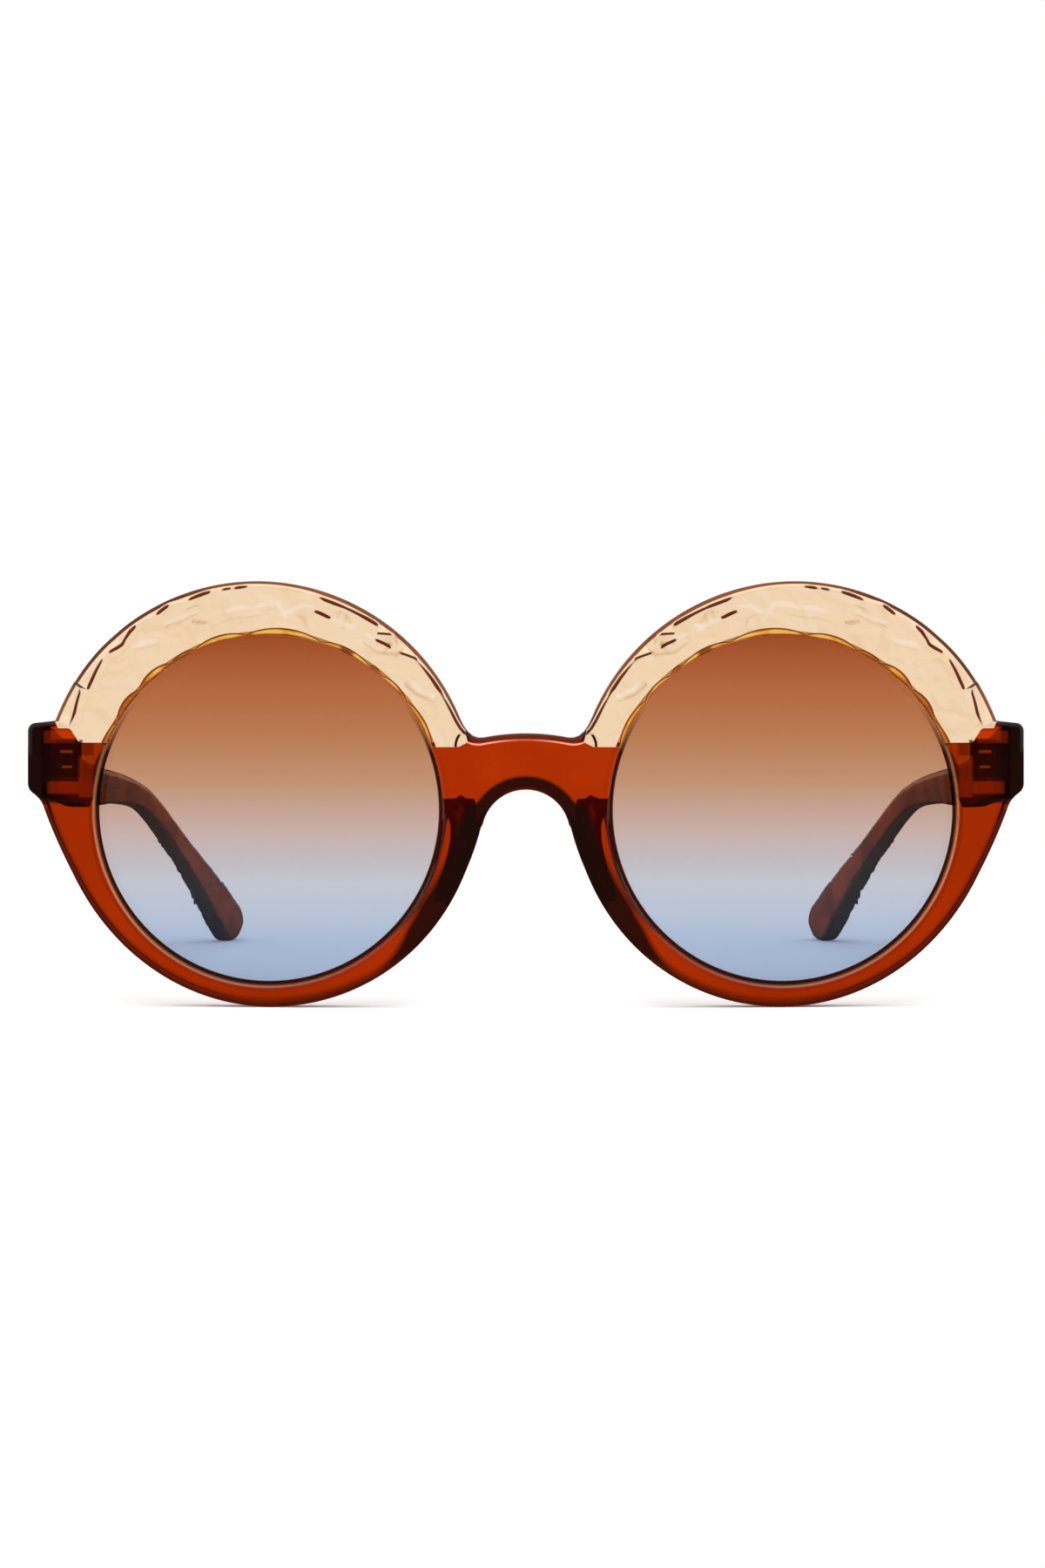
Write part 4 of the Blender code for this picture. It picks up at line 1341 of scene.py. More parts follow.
@dataclass(frozen=True)
class Metal:
    """Plain metal with fine brushing and a little wear."""

    name: str
    tint: Colour
    worn_tint: Colour
    roughness: float
    brush_scale: float = 9000.0
    brush_stretch: Sequence[float] = (1.0, 1.0, 0.08)
    brushing: float = 0.15
    brush_depth: float = 0.02 * MM
    wear_scale: float = 700.0
    worn: Fade = (0.5, 0.7)

    @property
    def slot(self) -> str:
        """The slot's name, which is the material's."""
        return self.name

    def make(self) -> bpy.types.Material:
        """Builds the material.

        Returns:
            The material.
        """
        material, nodes = new_material(self.name)
        stretched = nodes.add("Mapping", {"Vector": nodes.place, "Scale": self.brush_stretch})
        brush = nodes.noise(self.brush_scale, detail=2.0, place=stretched)
        wear = steep(nodes.noise(self.wear_scale, detail=4.0), *self.worn)
        values = {
            "Base Color": nodes.mix(wear, self.tint, self.worn_tint),
            "Metallic": 1.0,
            "Roughness": self.roughness + brush * self.brushing,
            "Normal": nodes.bump(self.brushing, self.brush_depth, brush),
        }
        nodes.add("OutputMaterial", {"Surface": nodes.add("BsdfPrincipled", values)})
        return material


HINGE_METAL = Metal("hinge_metal", (0.10, 0.07, 0.045), (0.17, 0.13, 0.08), 0.28)
SCREW_STEEL = Metal("screw_steel", (0.55, 0.53, 0.50), (0.68, 0.66, 0.62), 0.22)
CORE_METAL = Metal("core_wire_metal", (0.60, 0.57, 0.52), (0.72, 0.69, 0.64), 0.3)


# The front


@dataclass
class FrontSheet:
    """The front before its brows are let in: one flat sheet with both lens openings."""

    plan: FrontPlan = PLAN
    outer_round: float = 0.95 * MM
    lip_round: float = 0.8 * MM
    groove_depth: float = 0.6 * MM
    groove_width: float = 1.5 * MM
    overrun: float = 1.0 * MM
    lip_steps: int = 5
    edge_steps: int = 6
    round_steps: int = 144

    def lip(self, y: float, way: int) -> list[Point]:
        """The rounded lip of an opening, as radius and depth.

        Args:
            y: Depth of the face that it starts from.
            way: 1 where the sheet lies behind that face and -1 where it lies before it.

        Returns:
            The points, from the face inwards.
        """
        curve = arc((0, 0), self.lip_round, 90, 0, self.lip_steps)
        reach = self.plan.aperture + self.lip_round
        return [(reach - b, y + way * (self.lip_round - a)) for b, a in curve]

    def opening(self) -> bpy.types.Object:
        """The turned tool that cuts the right lens opening with its groove.

        Returns:
            The tool.
        """
        plan = self.plan
        middle, half = plan.thickness / 2, self.groove_width / 2
        front, back = self.lip(0, 1), self.lip(plan.thickness, -1)[::-1]
        groove = [
            (plan.aperture + deep * self.groove_depth, middle + way * half)
            for way, deep in ((-1, 0), (0, 1), (1, 0))
        ]
        profile = [(front[0][0], -self.overrun), *front, *groove, *back]
        profile.append((back[-1][0], plan.thickness + self.overrun))
        rings = []
        for radius, y in profile:
            circle = arc((plan.lens_x, plan.lens_z), radius, 0, 360, self.round_steps)[:-1]
            rings.append([Vector((x, y, z)) for x, z in circle])
        return loft("opening", rings)

    def build(self) -> bpy.types.Object:
        """The whole sheet with its grooves and rounded edges.

        Returns:
            The object.
        """
        plan = self.plan
        half = plan.contour()
        outline = half + [(-x, z) for x, z in reversed(half[1:-1])]
        sheet = loop_through("front_sheet", [Vector((x, 0, z)) for x, z in outline])
        with editing(sheet):
            bpy.ops.mesh.edge_face_add()
            extrude(Vector((0, plan.thickness, 0)))
            choose(sheet)
            bpy.ops.mesh.normals_make_consistent(inside=False)
        with editing(sheet, "EDGE", self.is_rim):
            size, steps = self.outer_round, self.edge_steps
            bpy.ops.mesh.bevel(offset=size, segments=steps, affect="EDGES", loop_slide=False)
        tool = self.opening()
        carve(sheet, mirrored(tool, "opening_left"), Cut.TAKE)
        carve(sheet, tool, Cut.TAKE)
        return sheet

    def is_rim(self, edge: bmesh.types.BMEdge) -> bool:
        """Whether an edge runs round the sheet's front or back face."""
        return abs(edge.verts[0].co.y - edge.verts[1].co.y) < WELD


def along(rows: Sequence[Sequence[float]], at: float) -> list[float]:
    """Reads a table between its rows.

    Args:
        rows: Rows that start with their places, in order.
        at: The place.

    Returns:
        The other values there.
    """
    if at <= rows[0][0]:
        return list(rows[0][1:])
    for before, after in zip(rows, rows[1:]):
        if at <= after[0]:
            share = (at - before[0]) / (after[0] - before[0])
            return [a + (b - a) * share for a, b in zip(before[1:], after[1:])]
    return list(rows[-1][1:])


@dataclass
class Spot:
    """A point of a brow's section and how strongly painted shade and glints mark it."""

    reach: float
    y: float
    crease: float = 0.0
    rim: float = 0.0
    lip: float = 0.0


@dataclass(frozen=True)
class Stroke:
    """A soft painted highlight or groove shade on a brow's face, along a line of points in mm."""

    half_width: float
    gleam: float
    # Strength of the painted shade along the groove
    groove: float
    line: tuple[Point, ...]
    end_width: float = 0.45

    def strength(self, place: Vector) -> float:
        """1 on the line, falling to 0 beside it.

        Args:
            place: X and Z of the place in mm.

        Returns:
            The strength.
        """
        best = 0.0
        count = len(self.line) - 1
        for i in range(count):
            start, stop = Vector(self.line[i]), Vector(self.line[i + 1])
            run = stop - start
            share = max(0.0, min(1.0, (place - start).dot(run) / run.length_squared))
            away = (place - start - run * share).length
            bow = math.sin(math.pi * (i + share) / count)
            taper = self.end_width + (1 - self.end_width) * bow
            best = max(best, 1 - away / (self.half_width * taper * 2))
        return best


@dataclass
class Brows:
    """The pale acetate brows, whose front edges are cut by hand into flats and scallops."""

    plan: FrontPlan = PLAN
    bond_gap: float = 0.02 * MM
    seam_drop: float = 1.1 * MM
    seam_run: float = 0.6 * MM
    step_drop: float = 2.1 * MM
    step_x: float = 66.2 * MM
    step_round: float = 0.9 * MM
    step_slant: float = 1.6
    nose_drop: float = 2.0 * MM
    nose_x: float = 9.8 * MM
    nose_tip: Point = (8.4 * MM, 38.5 * MM)
    nose_turn: Point = (8.75 * MM, 39.8 * MM)
    overrun: float = 2.0 * MM
    start_degrees: float = 16
    stop_degrees: float = 163
    step_degrees: float = 0.6
    flat_slope: float = 0.6
    face_rows: int = 12
    side_rows: int = 5
    crease_half: float = 0.34 * MM
    row_gap: float = 0.8 * MM
    lip_depth: float = 0.35 * MM
    lip_slope: float = 0.8
    scallop_least: float = 0.1 * MM
    scallop_power: float = 0.6
    back_round: float = 0.5 * MM
    # Points of the rounded back edges: shares of the rounding inwards and forwards
    outer_back: tuple[Point, ...] = ((0.3, 0.3), (1, 0), (4, 0))
    inner_back: tuple[Point, ...] = ((3, 0), (1, 0), (0.3, 0.3), (0, 1))
    groove_depth: float = 0.6 * MM
    groove_half: float = 0.75 * MM
    relief_depth: float = 0.13 * MM
    relief_scale: float = 190.0
    relief_contrast: float = 1.6
    lip_shares: Sequence[float] = (0, 0.2, 0.4, 0.6, 0.8, 1)
    lip_power: float = 1.3
    lip_brim: float = 0.12 * MM
    # Depth in mm inside the outer edge, share of painted shade, where a narrow flat squeezes them
    rim_rows: tuple[Point, ...] = ((0.6, 0), (0.5, 1), (0.1, 1))
    rim_room: float = 0.65
    # Depth in mm behind the outer edge's front and its painted shade
    wall_rows: tuple[Point, ...] = ((0.2, 1), (0.8, 0.15))
    stroke_reach: float = 8.0
    # Crease before the outer flats: degrees round the brow, depth in mm, painted shade
    creases: tuple[tuple[float, float, float], ...] = (
        (20, 2.3, 0.0), (24, 2.4, 0.9), (26, 2.3, 1.8), (29, 1.9, 1.3), (31.5, 1.6, 1.0),
        (32.6, 1.2, 0.1), (33.2, 2.3, 0.1), (33.8, 2.3, 1.5), (36, 2.1, 2.2), (39, 1.75, 1.5),
        (42, 1.45, 0.9), (43, 1.4, 0.0), (44.7, 1.4, 0.0), (45.5, 1.45, 1.3), (47.5, 1.75, 2.3),
        (49.3, 1.9, 1.8), (51, 1.5, 1.2), (53, 1.15, 2.4), (54.6, 1.05, 1.6), (55.6, 1.0, 0.1),
        (61.4, 1.1, 0.0), (62.6, 1.05, 1.9), (64.6, 0.85, 2.4), (66, 0.8, 0.2), (70.6, 1.1, 0.0),
        (72, 1.04, 1.2), (75, 0.9, 2.3), (77, 0.85, 1.3), (78, 0.85, 0.1), (80.3, 0.85, 0.1),
        (81.3, 0.85, 1.1), (82.7, 0.85, 1.0), (83.6, 0.85, 0.1), (85, 0.85, 1.5), (87, 0.8, 1.0),
        (88, 0.8, 0.25), (97, 0.85, 0.35), (107, 0.95, 0.3), (109, 1.1, 1.7), (111.5, 1.1, 1.9),
        (115, 1.05, 1.0), (119, 1.0, 1.3), (122, 0.95, 2.5), (124, 0.9, 2.0), (125, 1.0, 0.1),
        (125.5, 1.9, 0.2), (126, 1.8, 1.1), (128.5, 0.95, 1.2), (129.5, 0.85, 0.2),
        (133.5, 1.9, 0.2), (134.5, 1.8, 1.2), (138, 0.9, 1.1), (139, 0.95, 0.5), (142, 0.9, 0.9),
        (145, 0.85, 1.6), (148, 0.85, 2.2), (149.5, 0.8, 0.9), (151, 0.85, 0.7), (156, 0.75, 1.2),
        (160, 0.6, 1.5), (164, 0.5, 1.2),
    )
    # Second crease, further in: degrees round the brow, depth in mm, painted shade
    folds: tuple[tuple[float, float, float], ...] = (
        (28, 3.2, 0.0), (52, 3.1, 0.0), (68, 2.5, 0.0), (70, 2.3, 0.4), (73, 2.2, 0.4),
        (75, 2.4, 0.0), (106.5, 3.1, 0.0), (107.4, 3.1, 1.5), (109.5, 3.2, 2.2),
        (111.2, 3.3, 1.5), (112.2, 3.3, 0.0), (123.5, 2.6, 0.0), (125.8, 2.75, 0.2),
        (127, 2.7, 1.5), (130.5, 2.3, 1.4), (131.5, 2.5, 0.0), (142, 2.4, 0.0), (172, 2.2, 0.0),
    )
    # Scallops of the inner edge: first degree, last degree, depth in mm
    scallops: tuple[tuple[float, float, float], ...] = (
        (4, 31, 0.85), (31, 43, 0.90), (43, 56, 0.95), (57, 65, 0.55), (66, 82.5, 0.85),
        (83.5, 106.8, 1.00), (108.3, 124.5, 0.75), (125, 129.5, 0.55), (131, 141.5, 0.65),
        (142, 158, 0.75), (158, 178, 0.65),
    )
    # How strongly the outer edge gets painted shade: degrees and share
    rims: tuple[tuple[float, float], ...] = (
        (16, 0.75), (28, 0.8), (36, 1.0), (70, 1.0), (82, 0.85), (105, 0.75), (120, 0.85),
        (150, 0.8), (158, 1.0),
    )
    # Half width, painted gleam and groove shade strength, and points as x and z in mm
    strokes: tuple[Stroke, ...] = (
        Stroke(0.45, 1.0, 0.0, ((57.5, 52.4), (55.6, 53.0), (53.7, 53.3))),
        Stroke(0.30, 0.0, 0.6, ((57.2, 51.8), (55.2, 52.4), (53.6, 52.7))),
        Stroke(0.35, 0.8, 0.0, ((52.8, 55.8), (50.6, 56.4), (47.5, 57.6))),
        Stroke(0.30, 0.0, 0.9, ((52.6, 55.2), (50.6, 55.9), (49.0, 56.8), (47.3, 57.1))),
        Stroke(0.30, 0.0, 1.3, ((48.5, 56.0), (47.4, 55.9), (46.5, 55.9))),
        Stroke(0.40, 1.0, 0.0, ((43.6, 57.5), (41.8, 58.0), (40.0, 58.1))),
        Stroke(0.40, 1.0, 0.0, ((39.8, 57.9), (38.0, 58.6), (36.0, 58.6), (34.9, 56.6))),
        Stroke(0.28, 0.0, 0.6, ((45.5, 55.4), (43.0, 56.4), (40.0, 56.7), (37.0, 57.3))),
        Stroke(0.35, 1.0, 0.0, ((35.9, 57.1), (34.1, 57.5), (32.5, 58.3), (30.7, 58.2))),
        Stroke(0.25, 0.0, 0.7, ((33.8, 57.0), (32.2, 56.5), (31.9, 55.2))),
        Stroke(0.40, 1.0, 0.0, ((28.7, 56.5), (26.7, 55.9), (25.2, 55.1), (24.6, 55.6))),
        Stroke(0.25, 0.0, 0.7, ((27.9, 57.3), (26.4, 57.4), (25.4, 55.9), (26.6, 54.9))),
        Stroke(0.35, 1.0, 0.0, ((23.4, 54.2), (21.3, 53.3), (20.3, 52.2))),
        Stroke(0.28, 0.0, 0.9, ((23.6, 53.0), (21.6, 51.5), (18.8, 51.2), (17.8, 52.0))),
        Stroke(0.22, 0.0, 1.1, ((21.6, 52.7), (20.6, 53.0), (19.4, 52.6))),
        Stroke(0.40, 0.9, 0.0, ((17.0, 47.6), (15.4, 46.1), (13.3, 45.1))),
        Stroke(0.28, 0.0, 0.9, ((17.6, 46.9), (15.8, 45.4), (13.4, 44.4))),
    )
    # How brightly the inner edge shines: degrees and share
    glints: tuple[tuple[float, float], ...] = (
        (20, 0.32), (27, 0.50), (32, 0.32), (40, 0.45), (46, 0.38), (50, 0.85), (52, 0.95),
        (54, 0.45), (57, 0.30), (64, 0.50), (67, 0.65), (74, 0.85), (78, 1.20), (81, 0.70),
        (83.5, 0.30), (86, 0.90), (93, 1.30), (95.5, 0.75), (98, 0.85), (101, 1.20), (106, 1.00),
        (109, 0.75), (113.5, 0.80), (115, 0.25), (118, 0.25), (120, 1.20), (124, 1.20),
        (126, 0.30), (129, 0.40), (132, 0.95), (136, 0.80), (139, 0.50), (145, 0.70), (156, 0.65),
        (170, 0.45),
    )

    def zone(self, grow: float) -> bpy.types.Object:
        """The region that the right brow takes from the sheet.

        Args:
            grow: How far it is grown on all its seams.

        Returns:
            The tool.
        """
        plan = self.plan
        end = math.radians(plan.brow_angle(plan.end_top))
        notch = plan.brow_x + plan.brow_radius * math.cos(end) + grow
        above = plan.brow_z + plan.brow_radius + self.overrun
        seam_z = plan.end_top - self.seam_drop - grow
        step_x = self.step_x + grow
        step_z = seam_z - self.step_drop
        bend = self.step_round
        nose_z = plan.bridge_top - self.nose_drop - grow
        outline = [(notch, above), (notch, plan.end_top - grow), (notch - self.seam_run, seam_z)]
        outline += arc((step_x + bend, seam_z - bend), bend, 90, 160, 6)
        outline += arc((step_x - bend * self.step_slant, step_z + bend), bend, -20, -90, 6)
        outline.append((plan.lens_x, step_z))
        outline.append((plan.lens_x - plan.aperture / 2, nose_z))
        outline.append((self.nose_x, nose_z))
        outline += [(x - grow, z) for x, z in (self.nose_tip, self.nose_turn)]
        outline.append((self.nose_turn[0] - grow, above))
        return prism("brow_zone", outline, -self.overrun, plan.thickness + self.overrun)

    def scallop_at(self, degrees: float) -> float:
        """How far the inner edge is cut back.

        Args:
            degrees: Angle round the lens.

        Returns:
            The distance.
        """
        for start, stop, depth in self.scallops:
            if start < degrees < stop:
                bow = math.sin(math.pi * (degrees - start) / (stop - start))
                more = depth * MM - self.scallop_least
                return self.scallop_least + more * bow**self.scallop_power
        return self.scallop_least

    def front_spots(self, degrees: float, reach: float, bearing: float) -> list[Spot]:
        """The front side of a section, from the lens outwards.

        Args:
            degrees: The section's angle round the lens.
            reach: Distance from the lens's axis to the outer edge.
            bearing: The outer edge's angle round the brow's own centre.

        Returns:
            The points.
        """
        crease, dark = along(self.creases, bearing)
        fold, faint = along(self.folds, bearing)
        crease *= MM
        fold = max(fold * MM, crease + self.row_gap)
        inner = self.plan.aperture
        scallop = self.scallop_at(degrees)
        deep = self.lip_depth + scallop * self.lip_slope
        spots = []
        for share in self.lip_shares:
            y = deep * (1 - share) ** self.lip_power
            spots.append(Spot(inner + scallop * share, y, lip=1 - share / 2))
        spots.append(Spot(inner + scallop + self.lip_brim, 0))
        # Rows up to the fold and the crease, each with its painted shade
        for middle, mark, rows in (
            (reach - fold, faint, self.face_rows),
            (reach - crease, dark, self.side_rows),
        ):
            start, stop = spots[-1].reach, middle - self.crease_half
            spots += [Spot(start + (stop - start) * i / rows, 0) for i in range(1, rows)]
            for away, dimmed in ((-1, 0), (0, 1), (1, 0)):
                spots.append(Spot(middle + away * self.crease_half, 0, crease=mark * dimmed))
        # Painted shade along the outer edge
        rim_shade_share = along(self.rims, bearing)[0]
        for depth, mark in self.rim_rows:
            edge = min(depth * MM, (crease - self.crease_half) * depth / self.rim_room)
            spots.append(Spot(reach - edge, 0, rim=mark * rim_shade_share))
        for spot in spots:
            spot.y += max(0, spot.reach - reach + crease) * self.flat_slope
            away = min(reach - spot.reach - crease, spot.reach - inner - scallop) / MM
            spot.y += self.relief(degrees, spot.reach) * max(0, min(1, away))
        return spots

    def stroke_marks(self, place: Vector) -> Sequence[float]:
        """How strongly a place of the face gets a painted gleam and painted groove shade.

        Args:
            place: The place.

        Returns:
            Both strengths and two spare values.
        """
        flat = Vector((place.x, place.z)) / MM
        gleam = groove = 0.0
        for stroke in self.strokes:
            if abs(flat.x - stroke.line[0][0]) < self.stroke_reach:
                strength = stroke.strength(flat)
                gleam = max(gleam, strength * stroke.gleam)
                groove = max(groove, strength * stroke.groove)
        return (gleam, groove, 0.0, 1.0)

    def relief(self, degrees: float, reach: float) -> float:
        """How far the front is hollowed at a place.

        Args:
            degrees: Angle round the lens.
            reach: Distance from the lens's axis.

        Returns:
            The depth.
        """
        angle = math.radians(degrees)
        place = Vector((math.cos(angle), math.sin(angle), 0)) * reach * self.relief_scale
        return self.relief_depth * (1 - abs(noise.noise(place)) * self.relief_contrast)

    def section(self, degrees: float) -> tuple[list[Vector], list[Sequence[float]]]:
        """A ring across the right brow.

        Args:
            degrees: Its angle round the lens.

        Returns:
            Its points and their marks.
        """
        plan = self.plan
        angle = math.radians(degrees)
        way = Vector((math.cos(angle), math.sin(angle)))
        reach = plan.reach(way)
        centre = Vector((plan.lens_x, plan.lens_z))
        edge = centre + way * reach - Vector((plan.brow_x, plan.brow_z))
        bearing = math.degrees(math.atan2(edge.y, edge.x))
        spots = self.front_spots(degrees, reach, bearing)
        thick, inner, bend = plan.thickness, plan.aperture, self.back_round
        edge_y = spots[-1].y
        # The outer wall, with painted shade near its front
        spots += [Spot(reach, edge_y + depth * MM, rim=mark) for depth, mark in self.wall_rows]
        spots.append(Spot(reach, thick - bend, rim=0.1))
        for start, turn, rows in ((reach, -1, self.outer_back), (inner, 1, self.inner_back)):
            spots += [Spot(start + turn * bend * a, thick - bend * b) for a, b in rows]
        middle = thick / 2
        spots.append(Spot(inner, middle + self.groove_half))
        spots.append(Spot(inner + self.groove_depth, middle))
        spots.append(Spot(inner, middle - self.groove_half, lip=1))
        glow = along(self.glints, degrees)[0]
        places = []
        for spot in spots:
            flat = centre + way * spot.reach
            places.append(Vector((flat.x, spot.y, flat.y)))
        return places, [(spot.crease, spot.rim, spot.lip, glow) for spot in spots]

    def build(self) -> bpy.types.Object:
        """Builds the right brow.

        Returns:
            The brow.
        """
        steps = round((self.stop_degrees - self.start_degrees) / self.step_degrees)
        rings, marks = [], []
        for i in range(steps + 1):
            ring, ring_marks = self.section(self.start_degrees + i * self.step_degrees)
            rings.append(ring)
            marks += ring_marks
        brow = loft("brow_glow_right", rings)
        carve(brow, self.zone(-self.bond_gap / 2), Cut.KEEP)
        places = [place for ring in rings for place in ring]
        strokes = [self.stroke_marks(place) for place in places]
        # Painted shade, glints, gleams and groove shade go onto the brow's points
        paint(brow, places, {MARKS: marks, STROKES: strokes})
        self.plan.wrap(brow, 0)
        return brow

    def take_from(self, sheet: bpy.types.Object) -> None:
        """Cuts the places of both brows out of the sheet.

        Args:
            sheet: The whole front sheet.
        """
        taken = self.zone(self.bond_gap / 2)
        carve(sheet, mirrored(taken, "brow_zone_left"), Cut.TAKE)
        carve(sheet, taken, Cut.TAKE)


@dataclass
class Lens:
    """A lens: a thin meniscus whose bevelled edge sits in the groove."""

    plan: FrontPlan = PLAN
    thickness: float = 2.0 * MM
    curve_radius: float = 180 * MM
    clearance: float = 0.12 * MM
    bevel_reach: float = 0.36 * MM
    rings: int = 9
    round_steps: int = 144

    def build(self) -> bpy.types.Object:
        """Builds the right lens.

        Returns:
            The lens.
        """
        plan = self.plan
        edge = plan.aperture - self.clearance
        centre = Vector((plan.lens_x, plan.thickness / 2, plan.lens_z))
        bpy.ops.mesh.primitive_cylinder_add(
            vertices=self.round_steps,
            radius=edge,
            depth=self.thickness,
            location=centre,
            rotation=(math.pi / 2, 0, 0),
        )
        lens = bpy.context.object
        lens.name = "lens_clear_right"
        bpy.ops.object.transform_apply(location=True, rotation=True, scale=True)
        with editing(lens, "EDGE", lambda e: abs(e.verts[0].co.y - e.verts[1].co.y) > MM):
            bpy.ops.mesh.subdivide(number_cuts=1)
        with editing(lens, test=lambda vertex: abs(vertex.co.y - centre.y) < WELD):
            share = (edge + self.bevel_reach) / edge
            bpy.ops.transform.resize(value=(share, 1, share), center_override=tuple(centre))
        with editing(lens, "FACE", lambda face: abs(face.normal.y) > 0.9 and len(face.verts) > 4):
            for _ in range(self.rings):
                bpy.ops.mesh.inset(thickness=edge / (self.rings + 1))
            bpy.ops.mesh.poke()
        for vertex in lens.data.vertices:
            reach = min(edge, math.hypot(vertex.co.x - centre.x, vertex.co.z - centre.z))
            vertex.co.y -= (edge * edge - reach * reach) / (2 * self.curve_radius)
        plan.wrap(lens)
        clean(lens)
        return lens


@dataclass
class NosePad:
    """A nose pad: a rounded block of acetate bonded behind the rim beside the nose."""

    plan: FrontPlan = PLAN
    seat_gap: float = 0.1 * MM
    fullness: float = 0.75
    wave: float = 0.35 * MM
    wave_length: float = 2.3 * MM
    wave_start: float = 27.5 * MM
    steps: int = 24
    # Height, middle, half the width and depth in mm
    rows: tuple[tuple[float, float, float, float], ...] = (
        (15.3, 12.4, 0.5, 0.9), (15.6, 12.3, 0.8, 1.6), (16.4, 12.0, 1.15, 2.6),
        (18.5, 11.1, 1.4, 3.8), (20.4, 10.35, 1.5, 4.5), (22.3, 9.75, 1.6, 4.8),
        (24.3, 9.3, 1.7, 4.8), (26.3, 9.1, 1.85, 4.6), (28.0, 9.25, 2.15, 4.0),
        (29.0, 9.35, 2.1, 3.3), (29.8, 9.4, 2.0, 2.4), (30.2, 9.45, 1.8, 1.5),
        (30.4, 9.45, 1.5, 0.8),
    )

    def section(self, row: Sequence[float]) -> list[Vector]:
        """A half-round ring across the pad.

        Args:
            row: Its height, middle, half width and depth in mm.

        Returns:
            Its points.
        """
        z, middle, half, depth = (size * MM for size in row)
        rise = max(0.0, z - self.wave_start) / (self.rows[-1][0] * MM - self.wave_start) * self.wave
        ring = []
        for i in range(self.steps + 1):
            turn = math.pi * i / self.steps
            x = middle + half * math.cos(turn)
            seat = self.plan.thickness + self.plan.wrap_shift(x) + self.seat_gap
            height = z + rise * math.cos(2 * math.pi * (x - middle) / self.wave_length)
            ring.append(Vector((x, seat + depth * math.sin(turn) ** self.fullness, height)))
        return ring

    def build(self) -> bpy.types.Object:
        """Builds the right pad.

        Returns:
            The pad.
        """
        pad = loft("nose_rest_right", [self.section(row) for row in self.rows])
        clean(pad)
        return pad


# The temples


